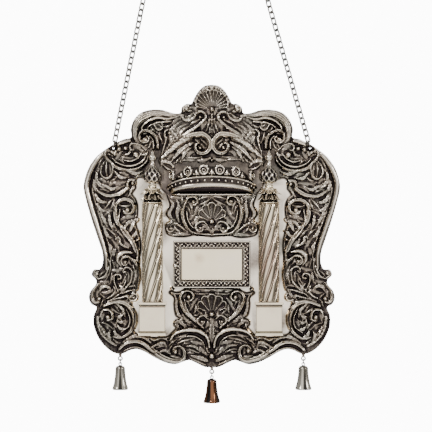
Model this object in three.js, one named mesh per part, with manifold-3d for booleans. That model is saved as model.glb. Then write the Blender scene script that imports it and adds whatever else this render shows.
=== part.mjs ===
// A silver Torah shield: a chased plate with a scrollwork border, a crown, two twisted columns on
// pedestals, a holder with a plain name plate, three small bells and the chain that it hangs by.
// Millimetres. The origin is the top of the chain, where the shield hangs from its two pegs. +X is to the
// right as one faces the shield, +Z is up, and the front faces -Y.

import * as THREE from "three";
import { mergeVertices } from "three/addons/utils/BufferGeometryUtils.js";
import Module from "manifold-3d";

// Driving dimensions
const PLATE = { width: 256.8, height: 283, thickness: 2.4 };
const CHAIN_DROP = 94.5; // from the top of the chain down to the plate's crest
const SEAT_GAP = 0.3; // between a fitted piece and what it sits on
const LINK_GAP = 0.3; // between two rings that hang in each other
const CROWN = { width: 90, height: 31, depth: 14, wall: 1.6, band: 7.5, arch: 8.4, foot: 204.5 };
const CROWN_BAR = { height: 1.8, depth: 2.2 };
const ROSETTE = { count: 6, pitch: 15.6, radius: 5, height: 3, above: 6 };
const HOLDER = { width: 77, height: 47, depth: 5, rim: 7, top: 250.8 };
const HOLDER_BEAD = { radius: 2.5, height: 2, pitch: 9 };
const NAME_PLATE = { thickness: 2.2 };
const COLUMN = { radius: 10.4, height: 98, top: 213.5, left: 59.2, right: 57, lobes: 8, flute: 1.4, turns: 0.6 };
const CAPITAL = { height: 19, radius: 13.4 };
const FINIAL = { height: 35, radius: 9.6 };
const PEDESTAL = { width: 25.5, height: 33, depth: 12, moulding: 5, overhang: 1.6 };
const BELL = { height: 24, radius: 8.5, wall: 1, loop: 1.5 };
const EYELET = { radius: 1.9, wire: 0.75, root: 4, drop: 4.2 };
const BELL_LINK = { radius: 2.5, wire: 0.5 };
const SHOULDER_RING = { radius: 4.1, wire: 0.6, hole: 2, out: 98.5, down: 158 };
const LINK = { pitch: 6.15, halfWidth: 1.9, wire: 0.62 };
const PEGS = { left: -66.7, right: 53, corner: 7 };
const BELL_OUT = 91.6; // the outer bells, out from the centre line

// How finely the round forms are cut into flat faces
const FACETS = { wire: 4, eyelet: 8, ring: 12, link: 4, linkWire: 3, hole: 10, bud: 5, rosette: 7, bead: 5 };
const TURNED_FACETS = { capital: 10, finial: 9, bell: 10, crown: 10, columnRows: 10 };
const STROKE_TURN = 0.7; // radians that a stroke may turn before it is cut into another stretch
const EDGE_TURN = 0.24; // and the same for the plate's edge

// The face is drawn as [out, down] points, out from the centre line and down from the top of the chain, and
// the drawing stretches with the plate. This is one half of the plate's edge, from the crest to the foot.
const OUTLINE = [
  [0, 94.5], [7, 95.6], [13, 100.5], [17.5, 107.5], [20.5, 113.4], [25, 113.5], [30, 117],
  [31.5, 122.6], [38, 123], [49, 119.8], [61, 119.5], [71, 122.5], [78, 129.5], [81.3, 139],
  [80.8, 147], [88, 149], [97, 153.2], [107, 159.5], [116, 167], [123.5, 178], [127.6, 190],
  [128.4, 199], [125.5, 212], [120, 231], [114, 249], [109.8, 262], [109.2, 272], [112, 279],
  [118, 279.5], [120.4, 285], [116, 290], [116.5, 295], [121.5, 301], [123.2, 308],
  [120.5, 314.4], [115.5, 317.6], [118.4, 326], [118, 337], [113, 349], [106, 357.5],
  [98, 363], [90, 364.2], [82, 360.6], [75, 359.4], [67, 362.2], [57, 368], [47, 372.6],
  [37, 374.6], [28.5, 372], [22.5, 370.4], [15, 373.6], [7, 377.3], [0, 377.5],
];
const across = PLATE.width / (2 * Math.max(...OUTLINE.map(([out]) => out)));
const drawnTop = OUTLINE[0][1];
const along = PLATE.height / (OUTLINE.at(-1)[1] - drawnTop);
const GROUND = PLATE.thickness;
const SEAT = GROUND + SEAT_GAP;
const RELIEF_ROOM = GROUND + 40; // further out than any relief
const PLATE_BOTTOM = CHAIN_DROP + PLATE.height;

const outAt = (out) => out * across;
const downAt = (down) => CHAIN_DROP + (down - drawnTop) * along;
const place = ([out, down]) => new THREE.Vector2(outAt(out), -downAt(down));

const wasm = await Module();
wasm.setup();

// Solids
function solidOf(geometry) {
  const bare = geometry.index ? geometry.toNonIndexed() : geometry.clone();
  for (const name of Object.keys(bare.attributes)) {
    if (name !== "position") bare.deleteAttribute(name);
  }
  const merged = mergeVertices(bare, 1e-3);
  return new wasm.Manifold(
    new wasm.Mesh({
      numProp: 3,
      vertProperties: merged.attributes.position.array,
      triVerts: new Uint32Array(merged.index.array),
    }),
  );
}

function geometryOf(solid) {
  const mesh = solid.getMesh();
  const corners = new Float32Array(mesh.numVert * 3);
  for (let i = 0; i < mesh.numVert; i++) {
    const start = i * mesh.numProp;
    corners.set(mesh.vertProperties.subarray(start, start + 3), i * 3);
  }
  const geometry = new THREE.BufferGeometry();
  geometry.setAttribute("position", new THREE.BufferAttribute(corners, 3));
  geometry.setIndex(new THREE.BufferAttribute(mesh.triVerts, 1));
  geometry.computeVertexNormals();
  return geometry;
}

const union = (solids) => solids.reduce((whole, next) => whole.add(next));

// A closed solid through sections of equal count. A ring of sections has no end caps.
function loft(sections, closedRing = false) {
  const count = sections[0].length;
  const corners = sections.flat();
  const faces = [];
  const spans = closedRing ? sections.length : sections.length - 1;
  for (let i = 0; i < spans; i++) {
    const here = i * count;
    const next = ((i + 1) % sections.length) * count;
    for (let j = 0; j < count; j++) {
      const k = (j + 1) % count;
      faces.push([here + j, here + k, next + k], [here + j, next + k, next + j]);
    }
  }
  if (!closedRing) {
    const last = (sections.length - 1) * count;
    for (let j = 1; j < count - 1; j++) {
      faces.push([0, j + 1, j], [last, last + j, last + j + 1]);
    }
  }
  let volume = 0;
  for (const [a, b, c] of faces) {
    volume += corners[a].dot(corners[b].clone().cross(corners[c]));
  }
  const turned = volume < 0 ? faces.map(([a, b, c]) => [a, c, b]) : faces;
  const geometry = new THREE.BufferGeometry();
  const flat = corners.flatMap((v) => [v.x, v.y, v.z]);
  geometry.setAttribute("position", new THREE.Float32BufferAttribute(flat, 3));
  geometry.setIndex(turned.flat());
  return solidOf(geometry);
}

const box = (width, depth, height, x, y, z) =>
  solidOf(new THREE.BoxGeometry(width, depth, height).translate(x, y, z));

// A box on the plate's face, from its seat or from seatDepth out to frontDepth
function slab(out, topDown, width, height, seatDepth, frontDepth) {
  const depth = frontDepth - seatDepth;
  const y = -(seatDepth + frontDepth) / 2;
  return box(width, depth, height, out, y, -(topDown + height / 2));
}

// Points of a smooth curve, closer together where it turns
function stations(points, turn, reach) {
  const fine = new THREE.SplineCurve(points).getPoints(points.length * 8);
  const kept = [fine[0]];
  let heading = fine[1].clone().sub(fine[0]).angle();
  for (let i = 1; i < fine.length - 1; i++) {
    const next = fine[i + 1].clone().sub(fine[i]).angle();
    const bend = Math.abs(Math.atan2(Math.sin(next - heading), Math.cos(next - heading)));
    if (bend > turn || fine[i].distanceTo(kept.at(-1)) > reach) {
      kept.push(fine[i]);
      heading = next;
    }
  }
  kept.push(fine.at(-1));
  return kept;
}

// A volute on the end of a line: it winds about a centre, clockwise for a positive sweep in degrees, and
// its radius shrinks to a share of what it was.
function volute([out, down], [centreOut, centreDown], sweep, shrink) {
  const steps = Math.ceil(Math.abs(sweep) / 45);
  const start = new THREE.Vector2(out - centreOut, down - centreDown);
  return Array.from({ length: steps }, (_, i) => {
    const share = (i + 1) / steps;
    const arm = start.clone().rotateAround(new THREE.Vector2(), THREE.MathUtils.degToRad(sweep * share));
    arm.multiplyScalar(1 + (shrink - 1) * share);
    return [centreOut + arm.x, centreDown + arm.y];
  });
}

// A raised stroke of the chasing. Its half-width runs from start through middle to end, and crest is its
// height over the ground.
function stroke({ line, curl, half: [start, middle, end], crest }) {
  const tail = curl ? volute(line.at(-1), ...curl) : [];
  const path = stations([...line, ...tail].map(place), STROKE_TURN, 22);
  const sections = path.map((point, i) => {
    const before = path[Math.max(i - 1, 0)];
    const after = path[Math.min(i + 1, path.length - 1)];
    const side = after.clone().sub(before).normalize();
    side.set(-side.y, side.x);
    const t = i / (path.length - 1);
    const wide = t < 0.5 ? start + (middle - start) * 2 * t : middle + (end - middle) * (2 * t - 1);
    const half = wide * across;
    const height = crest * across * Math.min(1, (0.55 + wide / middle) / 1.4);
    return [
      [-half, GROUND],
      [0, GROUND + height],
      [half, GROUND],
    ].map(([s, depth]) => new THREE.Vector3(point.x + side.x * s, -depth, point.y + side.y * s));
  });
  return sections.slice(1).map((section, i) => loft([sections[i], section]));
}

// A raised bud or boss
function bud([centrePoint, radius, height]) {
  const centre = place(centrePoint);
  const sides = FACETS.bud;
  const rings = [
    [radius * across, GROUND],
    [radius * across * 0.4, GROUND + height * across],
  ];
  const sections = rings.map(([r, depth]) =>
    Array.from({ length: sides }, (_, i) => {
      const turn = (i * 2 * Math.PI) / sides;
      return new THREE.Vector3(centre.x + r * Math.cos(turn), -depth, centre.y + r * Math.sin(turn));
    }),
  );
  return loft(sections);
}

// Half of a shell: flutes that fan out from its base, the middle one shared with the other half
function shell({ down, radius, flutes, spread, crest }) {
  return Array.from({ length: flutes + 1 }, (_, i) => {
    const turn = (spread * i) / flutes;
    const reach = radius * (1 - 0.12 * (i / flutes) ** 2);
    const half = (radius * spread) / flutes / 2.1;
    const at = (share) => [Math.sin(turn) * reach * share, down - Math.cos(turn) * reach * share];
    return stroke({ line: [at(0.12), at(1)], half: [0.7, half * 0.6, half], crest });
  }).flat();
}

// The scrolls and leaves of one half. A line may end in a curl: its centre, its sweep and its shrink.
const EDGE_SCROLLS = [
  {
    line: [[100, 158.8], [109, 164.3], [117.3, 174], [123, 186.5], [125, 198], [121, 216], [115.2, 234],
      [109, 252], [105.6, 266], [105.4, 277]],
    curl: [[113.6, 281.8], -250, 0.35],
    half: [2.6, 3.1, 1.2],
    crest: 4.4,
  },
  { line: [[112.4, 293.4], [118.2, 300.4], [119.8, 308]], curl: [[114.6, 308.6], 230, 0.4],
    half: [1.6, 2.4, 1.2], crest: 4 },
  { line: [[81.6, 150.6], [88.6, 152.6], [95, 155.6]], half: [1.5, 2.2, 1.6], crest: 4 },
  { line: [[92.6, 359.4], [85.8, 353.8], [77, 351.6], [68.6, 353.4], [59, 360], [48, 367.4], [37, 370.6]],
    curl: [[34.5, 361.5], 320, 0.35], half: [1.6, 3.2, 1.5], crest: 5.4 },
  { line: [[92, 356.6], [84.6, 350], [76.4, 346], [68, 347.4], [61, 352.6]], half: [1, 2, 1], crest: 4 },
];
const CREST_SCROLLS = [
  { line: [[29, 126], [38.7, 125.4], [50.7, 123.6], [62, 124], [71, 128.4], [76.3, 136], [76.8, 146]],
    curl: [[68, 145], 290, 0.3], half: [2, 4.4, 1.8], crest: 8.5 },
  { line: [[40, 131.4], [52, 129.6], [61, 131.4], [67.4, 136.6]], half: [1, 1.8, 1.2], crest: 5 },
  { line: [[57.4, 150], [55.2, 157], [57.4, 164.6], [60.4, 170]], half: [1.6, 2.6, 1.6], crest: 5 },
  { line: [[57.6, 133.6], [51.6, 137.6], [47.6, 134.6]], half: [1.2, 2.3, 1], crest: 4 },
  { line: [[51.6, 171.6], [40, 156], [28, 145.4], [16, 138], [8.6, 131.6]], curl: [[11.6, 127], 230, 0.9],
    half: [1.3, 2.3, 1.5], crest: 4.6 },
  { line: [[50, 168], [36.5, 155.4], [22, 146.6], [9.6, 145.4]], curl: [[11.8, 157.2], -330, 0.3],
    half: [1.6, 4, 1.8], crest: 7.5 },
  { line: [[22.4, 152], [33.6, 156], [45, 165.6]], half: [1.2, 2.6, 1.2], crest: 5.4 },
  { line: [[21, 156], [30, 161.4], [38.4, 169.6]], half: [1.2, 2.5, 1.2], crest: 5 },
  { line: [[34, 149.6], [37.6, 143.4], [43, 142.4]], half: [1, 2, 0.9], crest: 3.4 },
];
const SHOULDER_SCROLLS = [
  { line: [[62.6, 165.6], [65.4, 172], [73, 178.2], [84, 180.2], [95.6, 177.6], [102.6, 171]],
    curl: [[99.6, 163.4], -290, 0.35], half: [1.4, 3.1, 1.4], crest: 6 },
  { line: [[96, 170.4], [88, 173.6], [79, 173.4], [71.6, 169.6]], half: [1, 1.8, 1], crest: 4.4 },
  { line: [[88.6, 165.6], [83, 163.6], [81.6, 158.4]], half: [1, 2.2, 1.2], crest: 4 },
];
const SIDE_SCROLLS = [
  { line: [[104.6, 172], [106.4, 180], [103.6, 188.6]], half: [1.2, 3.4, 1.2], crest: 3.4 },
  { line: [[115, 182.4], [114.6, 191.4], [108.4, 196.6], [100.4, 194.6]], half: [1.2, 2.5, 1], crest: 4 },
  { line: [[113.6, 201], [105, 205.8], [93.4, 204.6], [83, 199.6], [75, 196]], half: [1.6, 3.1, 1.3],
    crest: 4.8 },
  { line: [[116, 206], [114, 215], [107, 219.4], [100, 217]], half: [1.2, 2.4, 1], crest: 3.6 },
  { line: [[108.4, 236], [103, 242.4], [96.6, 239.8]], half: [1.1, 2.2, 0.9], crest: 3.4 },
  { line: [[73.6, 273], [75, 260], [80, 248.6], [88.6, 238.6], [95.4, 229], [96.4, 219]],
    curl: [[85.4, 219.4], -300, 0.3], half: [1.8, 2.9, 1.7], crest: 6 },
  { line: [[81.6, 241], [77.4, 233.6], [74, 231]], half: [1.2, 2.4, 1.2], crest: 4 },
  { line: [[73.4, 297], [72.8, 281], [76.6, 271.6], [83, 267]], curl: [[86.6, 274], 260, 0.35],
    half: [1.4, 2.5, 1.5], crest: 5.4 },
  { line: [[109, 314], [101, 308], [91.4, 300.6], [83, 291], [77, 281]], half: [1.2, 2, 1.1], crest: 4.2 },
  { line: [[92.6, 301], [98, 294], [97.6, 286]], curl: [[93.6, 287.6], -200, 0.6], half: [1, 1.9, 1.2],
    crest: 3.8 },
  { line: [[106, 311], [103, 303.4], [104.4, 297], [109.6, 296.4]], half: [1, 1.9, 1.2], crest: 3.8 },
  { line: [[100, 312.6], [88, 306.8], [78.6, 305.6], [73.6, 308.6]], half: [1.4, 2.8, 1.2], crest: 4.2 },
  { line: [[107.6, 354], [114.4, 343]], curl: [[98.3, 331], -290, 0.7], half: [1.8, 3.2, 1.6], crest: 5.6 },
  { line: [[98, 321]], curl: [[103, 326], 230, 0.5], half: [1.3, 2.4, 1.6], crest: 5 },
  { line: [[100.6, 338.6], [93, 334], [90.6, 325]], half: [1, 2.4, 1], crest: 4.6 },
];
const CENTRE_SCROLLS = [
  { line: [[3.6, 244], [19.6, 242.4], [27.4, 232.4], [29.6, 221]], curl: [[22, 217.6], -270, 0.4],
    half: [1.6, 2.7, 1.6], crest: 5.4 },
  { line: [[24, 243], [33, 235.4], [40.4, 233]], curl: [[40, 238.4], 240, 0.5], half: [1.1, 2, 1.2],
    crest: 3.8 },
  { line: [[37, 234], [43, 229], [44.6, 222], [40.8, 215.6], [41.6, 209]], half: [1, 2.4, 1], crest: 3.4 },
  { line: [[8, 338], [17.8, 329.4], [26.6, 321.6], [31.6, 313]], curl: [[23.4, 309.4], -290, 0.4],
    half: [1.5, 2.4, 1.6], crest: 5.4 },
  { line: [[24, 335], [32, 327.6], [36.6, 319], [37, 309.6], [41, 302.4]], half: [1, 1.7, 1], crest: 3.4 },
  { line: [[2.4, 357], [4.6, 347], [13.6, 340.4], [25.6, 339.4], [36.4, 342.8], [41.8, 350]],
    half: [1.5, 2.8, 1.5], crest: 5.6 },
  { line: [[26, 336.4], [32.6, 331], [38.4, 332.4]], half: [1.2, 2.6, 1], crest: 3.4 },
  { line: [[4.6, 370.4], [12, 367.4], [20, 365.6]], half: [1.6, 2.4, 1.1], crest: 4 },
];
const SCROLLS = [...EDGE_SCROLLS, ...CREST_SCROLLS, ...SHOULDER_SCROLLS, ...SIDE_SCROLLS, ...CENTRE_SCROLLS];

// Strokes and shells on the centre line, and the buds of one half as [centre, radius, height]
const MIDDLE_STROKES = [
  { line: [[0, 123], [0, 134], [0, 145.6]], half: [1.6, 2, 0.9], crest: 4 },
  { line: [[0, 329], [0, 342], [0, 353]], half: [3, 4, 1.4], crest: 4 },
];
const SHELLS = [
  { down: 120.6, radius: 23.4, flutes: 5, spread: 1.42, crest: 4.6 },
  { down: 231, radius: 19.6, flutes: 3, spread: 1.36, crest: 4 },
  { down: 323.6, radius: 21.6, flutes: 3, spread: 1.36, crest: 4 },
];
const BUDS = [
  [[25.4, 119], 4.4, 4.5],
  [[92.6, 162.4], 3.6, 4.4],
  [[77, 165.4], 4.2, 5],
  [[36, 360.4], 3, 5],
  [[85.4, 219.4], 3, 5],
  [[87.4, 274], 3, 5],
];
const MIDDLE_BUDS = [
  [[0, 120.6], 3.2, 6],
  [[0, 231], 3, 5],
  [[0, 323.6], 3, 5],
  [[0, 365.6], 4, 5],
];

// Places that several pieces share
const columnPlace = (side) => side * outAt(side < 0 ? COLUMN.left : COLUMN.right);
const columnTop = downAt(COLUMN.top);
const columnBottom = columnTop + COLUMN.height;
const capitalTop = columnTop - CAPITAL.height;
const finialTop = capitalTop - FINIAL.height;
const columnDepth = SEAT + COLUMN.radius * 0.55; // the columns' axis over the plate's back
const crownFoot = downAt(CROWN.foot);
const holderTop = downAt(HOLDER.top);

function outlineShape() {
  const half = stations(OUTLINE.map(place), EDGE_TURN, 16);
  const left = half
    .slice(1, -1)
    .reverse()
    .map((p) => new THREE.Vector2(-p.x, p.y));
  return new THREE.Shape([...half, ...left]);
}

// The lowest point of the plate's edge at a distance out from the centre line
function edgeBelow(out) {
  const curve = new THREE.SplineCurve(OUTLINE.map(place)).getPoints(OUTLINE.length * 8);
  const near = curve.filter((p) => Math.abs(p.x - out) < 2 && p.y < -(CHAIN_DROP + PLATE.height / 2));
  return -Math.min(...near.map((p) => p.y));
}

const bellPlaces = [
  { name: "left", x: -outAt(BELL_OUT), edge: edgeBelow(outAt(BELL_OUT)) },
  { name: "centre", x: 0, edge: PLATE_BOTTOM },
  { name: "right", x: outAt(BELL_OUT), edge: edgeBelow(outAt(BELL_OUT)) },
].map((bell) => ({ ...bell, eye: bell.edge + EYELET.drop }));

// The eyelets and the shoulder rings' holes lie in the middle of the plate's thickness
const MID_DEPTH = GROUND / 2;

// A ring that faces the front, or stands across the plate when it is turned a quarter about Z
const facingRing = (radius, wire, sides) =>
  new THREE.TorusGeometry(radius, wire, FACETS.wire, sides).rotateX(Math.PI / 2);
const standingRing = (radius, wire, sides) => facingRing(radius, wire, sides).rotateZ(Math.PI / 2);

function eyelet({ x, edge, eye }) {
  const ring = facingRing(EYELET.radius, EYELET.wire, FACETS.eyelet).translate(x, -MID_DEPTH, -eye);
  const neckTop = edge - EYELET.root;
  const neckHeight = eye - EYELET.radius - neckTop;
  const width = EYELET.radius * 1.6;
  const neck = box(width, EYELET.wire * 1.8, neckHeight, x, -MID_DEPTH, -(neckTop + neckHeight / 2));
  return solidOf(ring).add(neck);
}

// Room round each fitted piece, cut out of the relief so that the piece seats on the flat ground
function seats() {
  const clear = 2 * SEAT_GAP;
  const cuts = [];
  const room = (x, width, top, height) =>
    cuts.push(slab(x, top - clear, width + 2 * clear, height + 2 * clear, GROUND, RELIEF_ROOM));
  for (const side of [-1, 1]) {
    const x = columnPlace(side);
    room(x, COLUMN.radius * 2, columnTop, COLUMN.height);
    room(x, CAPITAL.radius * 2, capitalTop, CAPITAL.height);
    room(x, FINIAL.radius * 2, finialTop + FINIAL.height * 0.4, FINIAL.height * 0.6);
    room(x, FINIAL.radius * 0.9, finialTop, FINIAL.height * 0.4);
    room(x, PEDESTAL.width + 2 * PEDESTAL.overhang, columnBottom, PEDESTAL.height);
    const around = (SHOULDER_RING.radius + SHOULDER_RING.wire) * 2;
    const hole = downAt(SHOULDER_RING.down);
    room(side * outAt(SHOULDER_RING.out), around * 0.7, hole - around, around + SHOULDER_RING.hole);
  }
  room(0, HOLDER.width, holderTop, HOLDER.height);
  const crownRoom = new THREE.Shape(crownSeat(clear));
  const cut = new THREE.ExtrudeGeometry(crownRoom, { depth: RELIEF_ROOM - GROUND, bevelEnabled: false });
  cuts.push(solidOf(cut.rotateX(Math.PI / 2).translate(0, -GROUND, 0)));
  return union(cuts);
}

function shoulderHole(side) {
  const { hole, out, down } = SHOULDER_RING;
  const drill = new THREE.CylinderGeometry(hole, hole, GROUND * 4, FACETS.hole);
  return solidOf(drill.translate(side * outAt(out), 0, -downAt(down)));
}

function shieldPlate() {
  const shape = outlineShape();
  const extruded = (depth) =>
    solidOf(new THREE.ExtrudeGeometry(shape, { depth, bevelEnabled: false }).rotateX(Math.PI / 2));
  const half = union([...SCROLLS.flatMap(stroke), ...SHELLS.flatMap(shell), ...BUDS.map(bud)]);
  const middle = union([...MIDDLE_STROKES.flatMap(stroke), ...MIDDLE_BUDS.map(bud)]);
  const relief = half
    .add(half.mirror([1, 0, 0]))
    .add(middle)
    .subtract(seats())
    .intersect(extruded(RELIEF_ROOM));
  let plate = extruded(GROUND).add(relief);
  for (const bell of bellPlaces) plate = plate.add(eyelet(bell));
  for (const side of [-1, 1]) plate = plate.subtract(shoulderHole(side));
  return plate;
}

// The crown's outline on the plate, grown by a clearance
function crownSeat(clear) {
  const half = CROWN.width / 2 + clear;
  const foot = crownFoot + clear;
  const top = crownFoot - CROWN.height - clear;
  const corner = crownFoot - CROWN.height * 0.8;
  return [
    [-half, foot], [half, foot], [half, corner], [half * 0.7, top], [-half * 0.7, top], [-half, corner],
  ].map(([out, down]) => new THREE.Vector2(out, -down));
}

// A level of the crown's wall is a half ellipse that bows out of the plate and rises towards its middle
function crownPoint(turn, { half, depth, down, rise }) {
  const bow = Math.sin(turn);
  return new THREE.Vector3(-Math.cos(turn) * half, -(SEAT + bow * depth), -(down - bow * rise));
}

function crownArc(level) {
  const sides = TURNED_FACETS.crown;
  return Array.from({ length: sides + 1 }, (_, i) => crownPoint((Math.PI * i) / sides, level));
}

function crown() {
  const { wall, depth, band, arch, height } = CROWN;
  const half = CROWN.width / 2;
  const levels = [
    { half: half - 5, depth: depth - 2, down: crownFoot, rise: arch },
    { half: half - 4, depth: depth - 0.6, down: crownFoot - 1, rise: arch + 0.6 },
    { half: half - 1, depth: depth - 0.4, down: crownFoot - band * 0.6, rise: arch + 1.6 },
    { half, depth, down: crownFoot - band * 0.74, rise: arch + 2.5 },
    { half: half - 3, depth: depth * 0.75, down: crownFoot - band * 1.2, rise: arch + 3.4 },
    { half: half * 0.76, depth: depth * 0.36, down: crownFoot - height * 0.64, rise: height * 0.26 },
  ];
  const last = levels.length - 1;
  const hollow = levels.map((level, i) => ({
    half: level.half - wall,
    depth: level.depth - wall,
    down: level.down + (i === 0 ? 2 * wall : 0) + (i === last ? wall : 0),
    rise: level.rise,
  }));
  const body = loft(levels.map(crownArc)).subtract(loft(hollow.map(crownArc)));
  const barTop = crownFoot - CROWN_BAR.height * 0.7;
  const bar = slab(0, barTop, 2 * (half - 5.2), CROWN_BAR.height, SEAT, SEAT + CROWN_BAR.depth);
  const rosettes = Array.from({ length: ROSETTE.count }, (_, i) => {
    const { count, pitch, radius, above } = ROSETTE;
    const turn = Math.acos(((count - 1) / 2 - i) * (pitch / half));
    const { x, y, z } = crownPoint(turn, { ...levels[3], depth: depth * 0.9 });
    const disc = new THREE.CylinderGeometry(radius * 0.45, radius, ROSETTE.height, FACETS.rosette);
    return solidOf(disc.rotateX(Math.PI / 2).translate(x, y, z + above));
  });
  return union([body, bar, ...rosettes]);
}

// All the room behind the fitted pieces' seats, which cuts the turned ones flat at the back
const behindSeats = box(
  2 * PLATE.width, PLATE.width, 2 * (CHAIN_DROP + PLATE.height), 0, PLATE.width / 2 - SEAT, -CHAIN_DROP,
);

// The grooves wind round the shaft, all the same way on both columns
function columnShaft(x) {
  const { lobes, radius, flute, turns } = COLUMN;
  const shaftTop = columnTop + SEAT_GAP / 2;
  const shaftHeight = COLUMN.height - SEAT_GAP;
  const rows = TURNED_FACETS.columnRows;
  const acrossLobe = [
    [0, radius - flute],
    [0.22, radius],
    [0.62, radius],
  ];
  const sections = Array.from({ length: rows + 1 }, (_, row) => {
    const t = row / rows;
    const z = -(shaftTop + t * shaftHeight);
    return Array.from({ length: lobes }, (_, lobe) =>
      acrossLobe.map(([share, r]) => {
        const turn = 2 * Math.PI * ((lobe + share) / lobes + turns * t);
        return new THREE.Vector3(x + r * Math.sin(turn), -columnDepth + r * Math.cos(turn), z);
      }),
    ).flat();
  });
  return loft(sections).subtract(behindSeats);
}

// A lathe profile from [radius share, height share] pairs, bottom to top, closed on its axis
function turned(shares, { radius, height }, sides, x, footDown) {
  const profile = shares.map(([r, h]) => new THREE.Vector2(r * radius, h * height));
  const geometry = new THREE.LatheGeometry(profile, sides).rotateX(Math.PI / 2);
  return solidOf(geometry.translate(x, -columnDepth, -footDown)).subtract(behindSeats);
}

const CAPITAL_PROFILE = [
  [0, 0], [0.72, 0], [0.8, 0.08], [1, 0.18], [0.78, 0.26], [0.68, 0.38], [0.9, 0.5], [0.6, 0.6],
  [0.6, 0.76], [0.32, 0.8], [0.3, 0.98], [0, 0.98],
];
const FINIAL_PROFILE = [
  [0, 0], [0.36, 0], [0.42, 0.05], [0.8, 0.1], [1, 0.2], [0.93, 0.32], [0.7, 0.42], [0.4, 0.5],
  [0.22, 0.58], [0.2, 0.68], [0.4, 0.76], [0.4, 0.86], [0.14, 0.97], [0, 0.98],
];

const capital = (x) => turned(CAPITAL_PROFILE, CAPITAL, TURNED_FACETS.capital, x, columnTop);
const finial = (x) => turned(FINIAL_PROFILE, FINIAL, TURNED_FACETS.finial, x, capitalTop);

function pedestal(x) {
  const { width, height, depth, moulding, overhang } = PEDESTAL;
  const top = columnBottom + SEAT_GAP;
  const front = SEAT + depth;
  const die = slab(x, top, width, height, SEAT, front);
  const cornice = slab(x, top, width + 2 * overhang, moulding, SEAT, front + overhang);
  const footTop = top + height - moulding * 0.8;
  const foot = slab(x, footTop, width + 1.4 * overhang, moulding * 0.8, SEAT, front + overhang * 0.7);
  return union([die, cornice, foot]);
}

function nameHolder() {
  const { width, height, depth, rim } = HOLDER;
  const front = SEAT + depth;
  const body = slab(0, holderTop, width, height, SEAT, front);
  const window = slab(0, holderTop + rim, width - 2 * rim, height - 2 * rim, SEAT - 1, front + 1);
  const runX = width - rim;
  const runZ = height - rim;
  const middleDown = holderTop + height / 2;
  const columns = Math.round(runX / HOLDER_BEAD.pitch);
  const rows = Math.round(runZ / HOLDER_BEAD.pitch);
  const bead = (i, j) => {
    const { radius, height: tall } = HOLDER_BEAD;
    const dome = new THREE.CylinderGeometry(radius * 0.4, radius, tall, FACETS.bead);
    const x = runX * (i / columns - 0.5);
    const down = middleDown + runZ * (j / rows - 0.5);
    return solidOf(dome.rotateX(Math.PI / 2).translate(x, -(front + tall * 0.4), -down));
  };
  const beads = [];
  for (let i = 0; i <= columns; i++) beads.push(bead(i, 0), bead(i, rows));
  for (let j = 1; j < rows; j++) beads.push(bead(0, j), bead(columns, j));
  return union([body.subtract(window), ...beads]);
}

function namePlate() {
  const inset = HOLDER.rim + SEAT_GAP;
  const width = HOLDER.width - 2 * inset;
  const height = HOLDER.height - 2 * inset;
  return slab(0, holderTop + inset, width, height, SEAT, SEAT + NAME_PLATE.thickness);
}

// A link of wire between two joints of the chain, its flat tilted about its own length. Its ends reach a
// little past the joints, so that each link bears on the next.
function chainLink(from, to, tilt) {
  const { wire, halfWidth } = LINK;
  const corners = FACETS.link;
  const axis = to.clone().sub(from);
  const half = axis.length() / 2 + wire * 0.66;
  axis.normalize();
  const front = new THREE.Vector3(0, -1, 0);
  const sideways = new THREE.Vector3().crossVectors(axis, front).normalize();
  const wide = sideways.multiplyScalar(Math.cos(tilt)).addScaledVector(front, Math.sin(tilt));
  const normal = new THREE.Vector3().crossVectors(axis, wide);
  const centre = from.clone().add(to).multiplyScalar(0.5);
  const sections = Array.from({ length: corners }, (_, i) => {
    const turn = ((i + 0.5) * 2 * Math.PI) / corners;
    const lengthShare = Math.cos(turn) / Math.cos(Math.PI / corners);
    const outward = axis.clone().multiplyScalar(Math.cos(turn)).addScaledVector(wide, Math.sin(turn));
    const corner = centre.clone().addScaledVector(axis, lengthShare * half);
    corner.addScaledVector(wide, Math.sin(turn) * halfWidth);
    return Array.from({ length: FACETS.linkWire }, (_, j) => {
      const round = (j * 2 * Math.PI) / FACETS.linkWire + Math.PI;
      const onWire = corner.clone().addScaledVector(outward, Math.cos(round) * wire);
      return onWire.addScaledVector(normal, Math.sin(round) * wire);
    });
  });
  return loft(sections, true);
}

// The shoulder rings stand across the plate, each through its hole and in line with its run of chain
function ringAt(side) {
  const { out, down, radius } = SHOULDER_RING;
  const peg = new THREE.Vector3(side < 0 ? PEGS.left : PEGS.right, -MID_DEPTH, 0);
  const hole = new THREE.Vector3(side * outAt(out), -MID_DEPTH, -downAt(down));
  const pull = peg.clone().sub(hole).normalize();
  const centre = hole.clone().addScaledVector(pull, radius);
  const chainEnd = centre.clone().addScaledVector(pull, radius - SHOULDER_RING.wire - LINK.wire - LINK_GAP);
  return { peg, pull, centre, chainEnd };
}

function chainRing(side) {
  const { centre, pull } = ringAt(side);
  const ring = standingRing(SHOULDER_RING.radius, SHOULDER_RING.wire, FACETS.ring);
  return solidOf(ring.rotateY(Math.atan2(pull.x, pull.z)).translate(centre.x, centre.y, centre.z));
}

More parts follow.
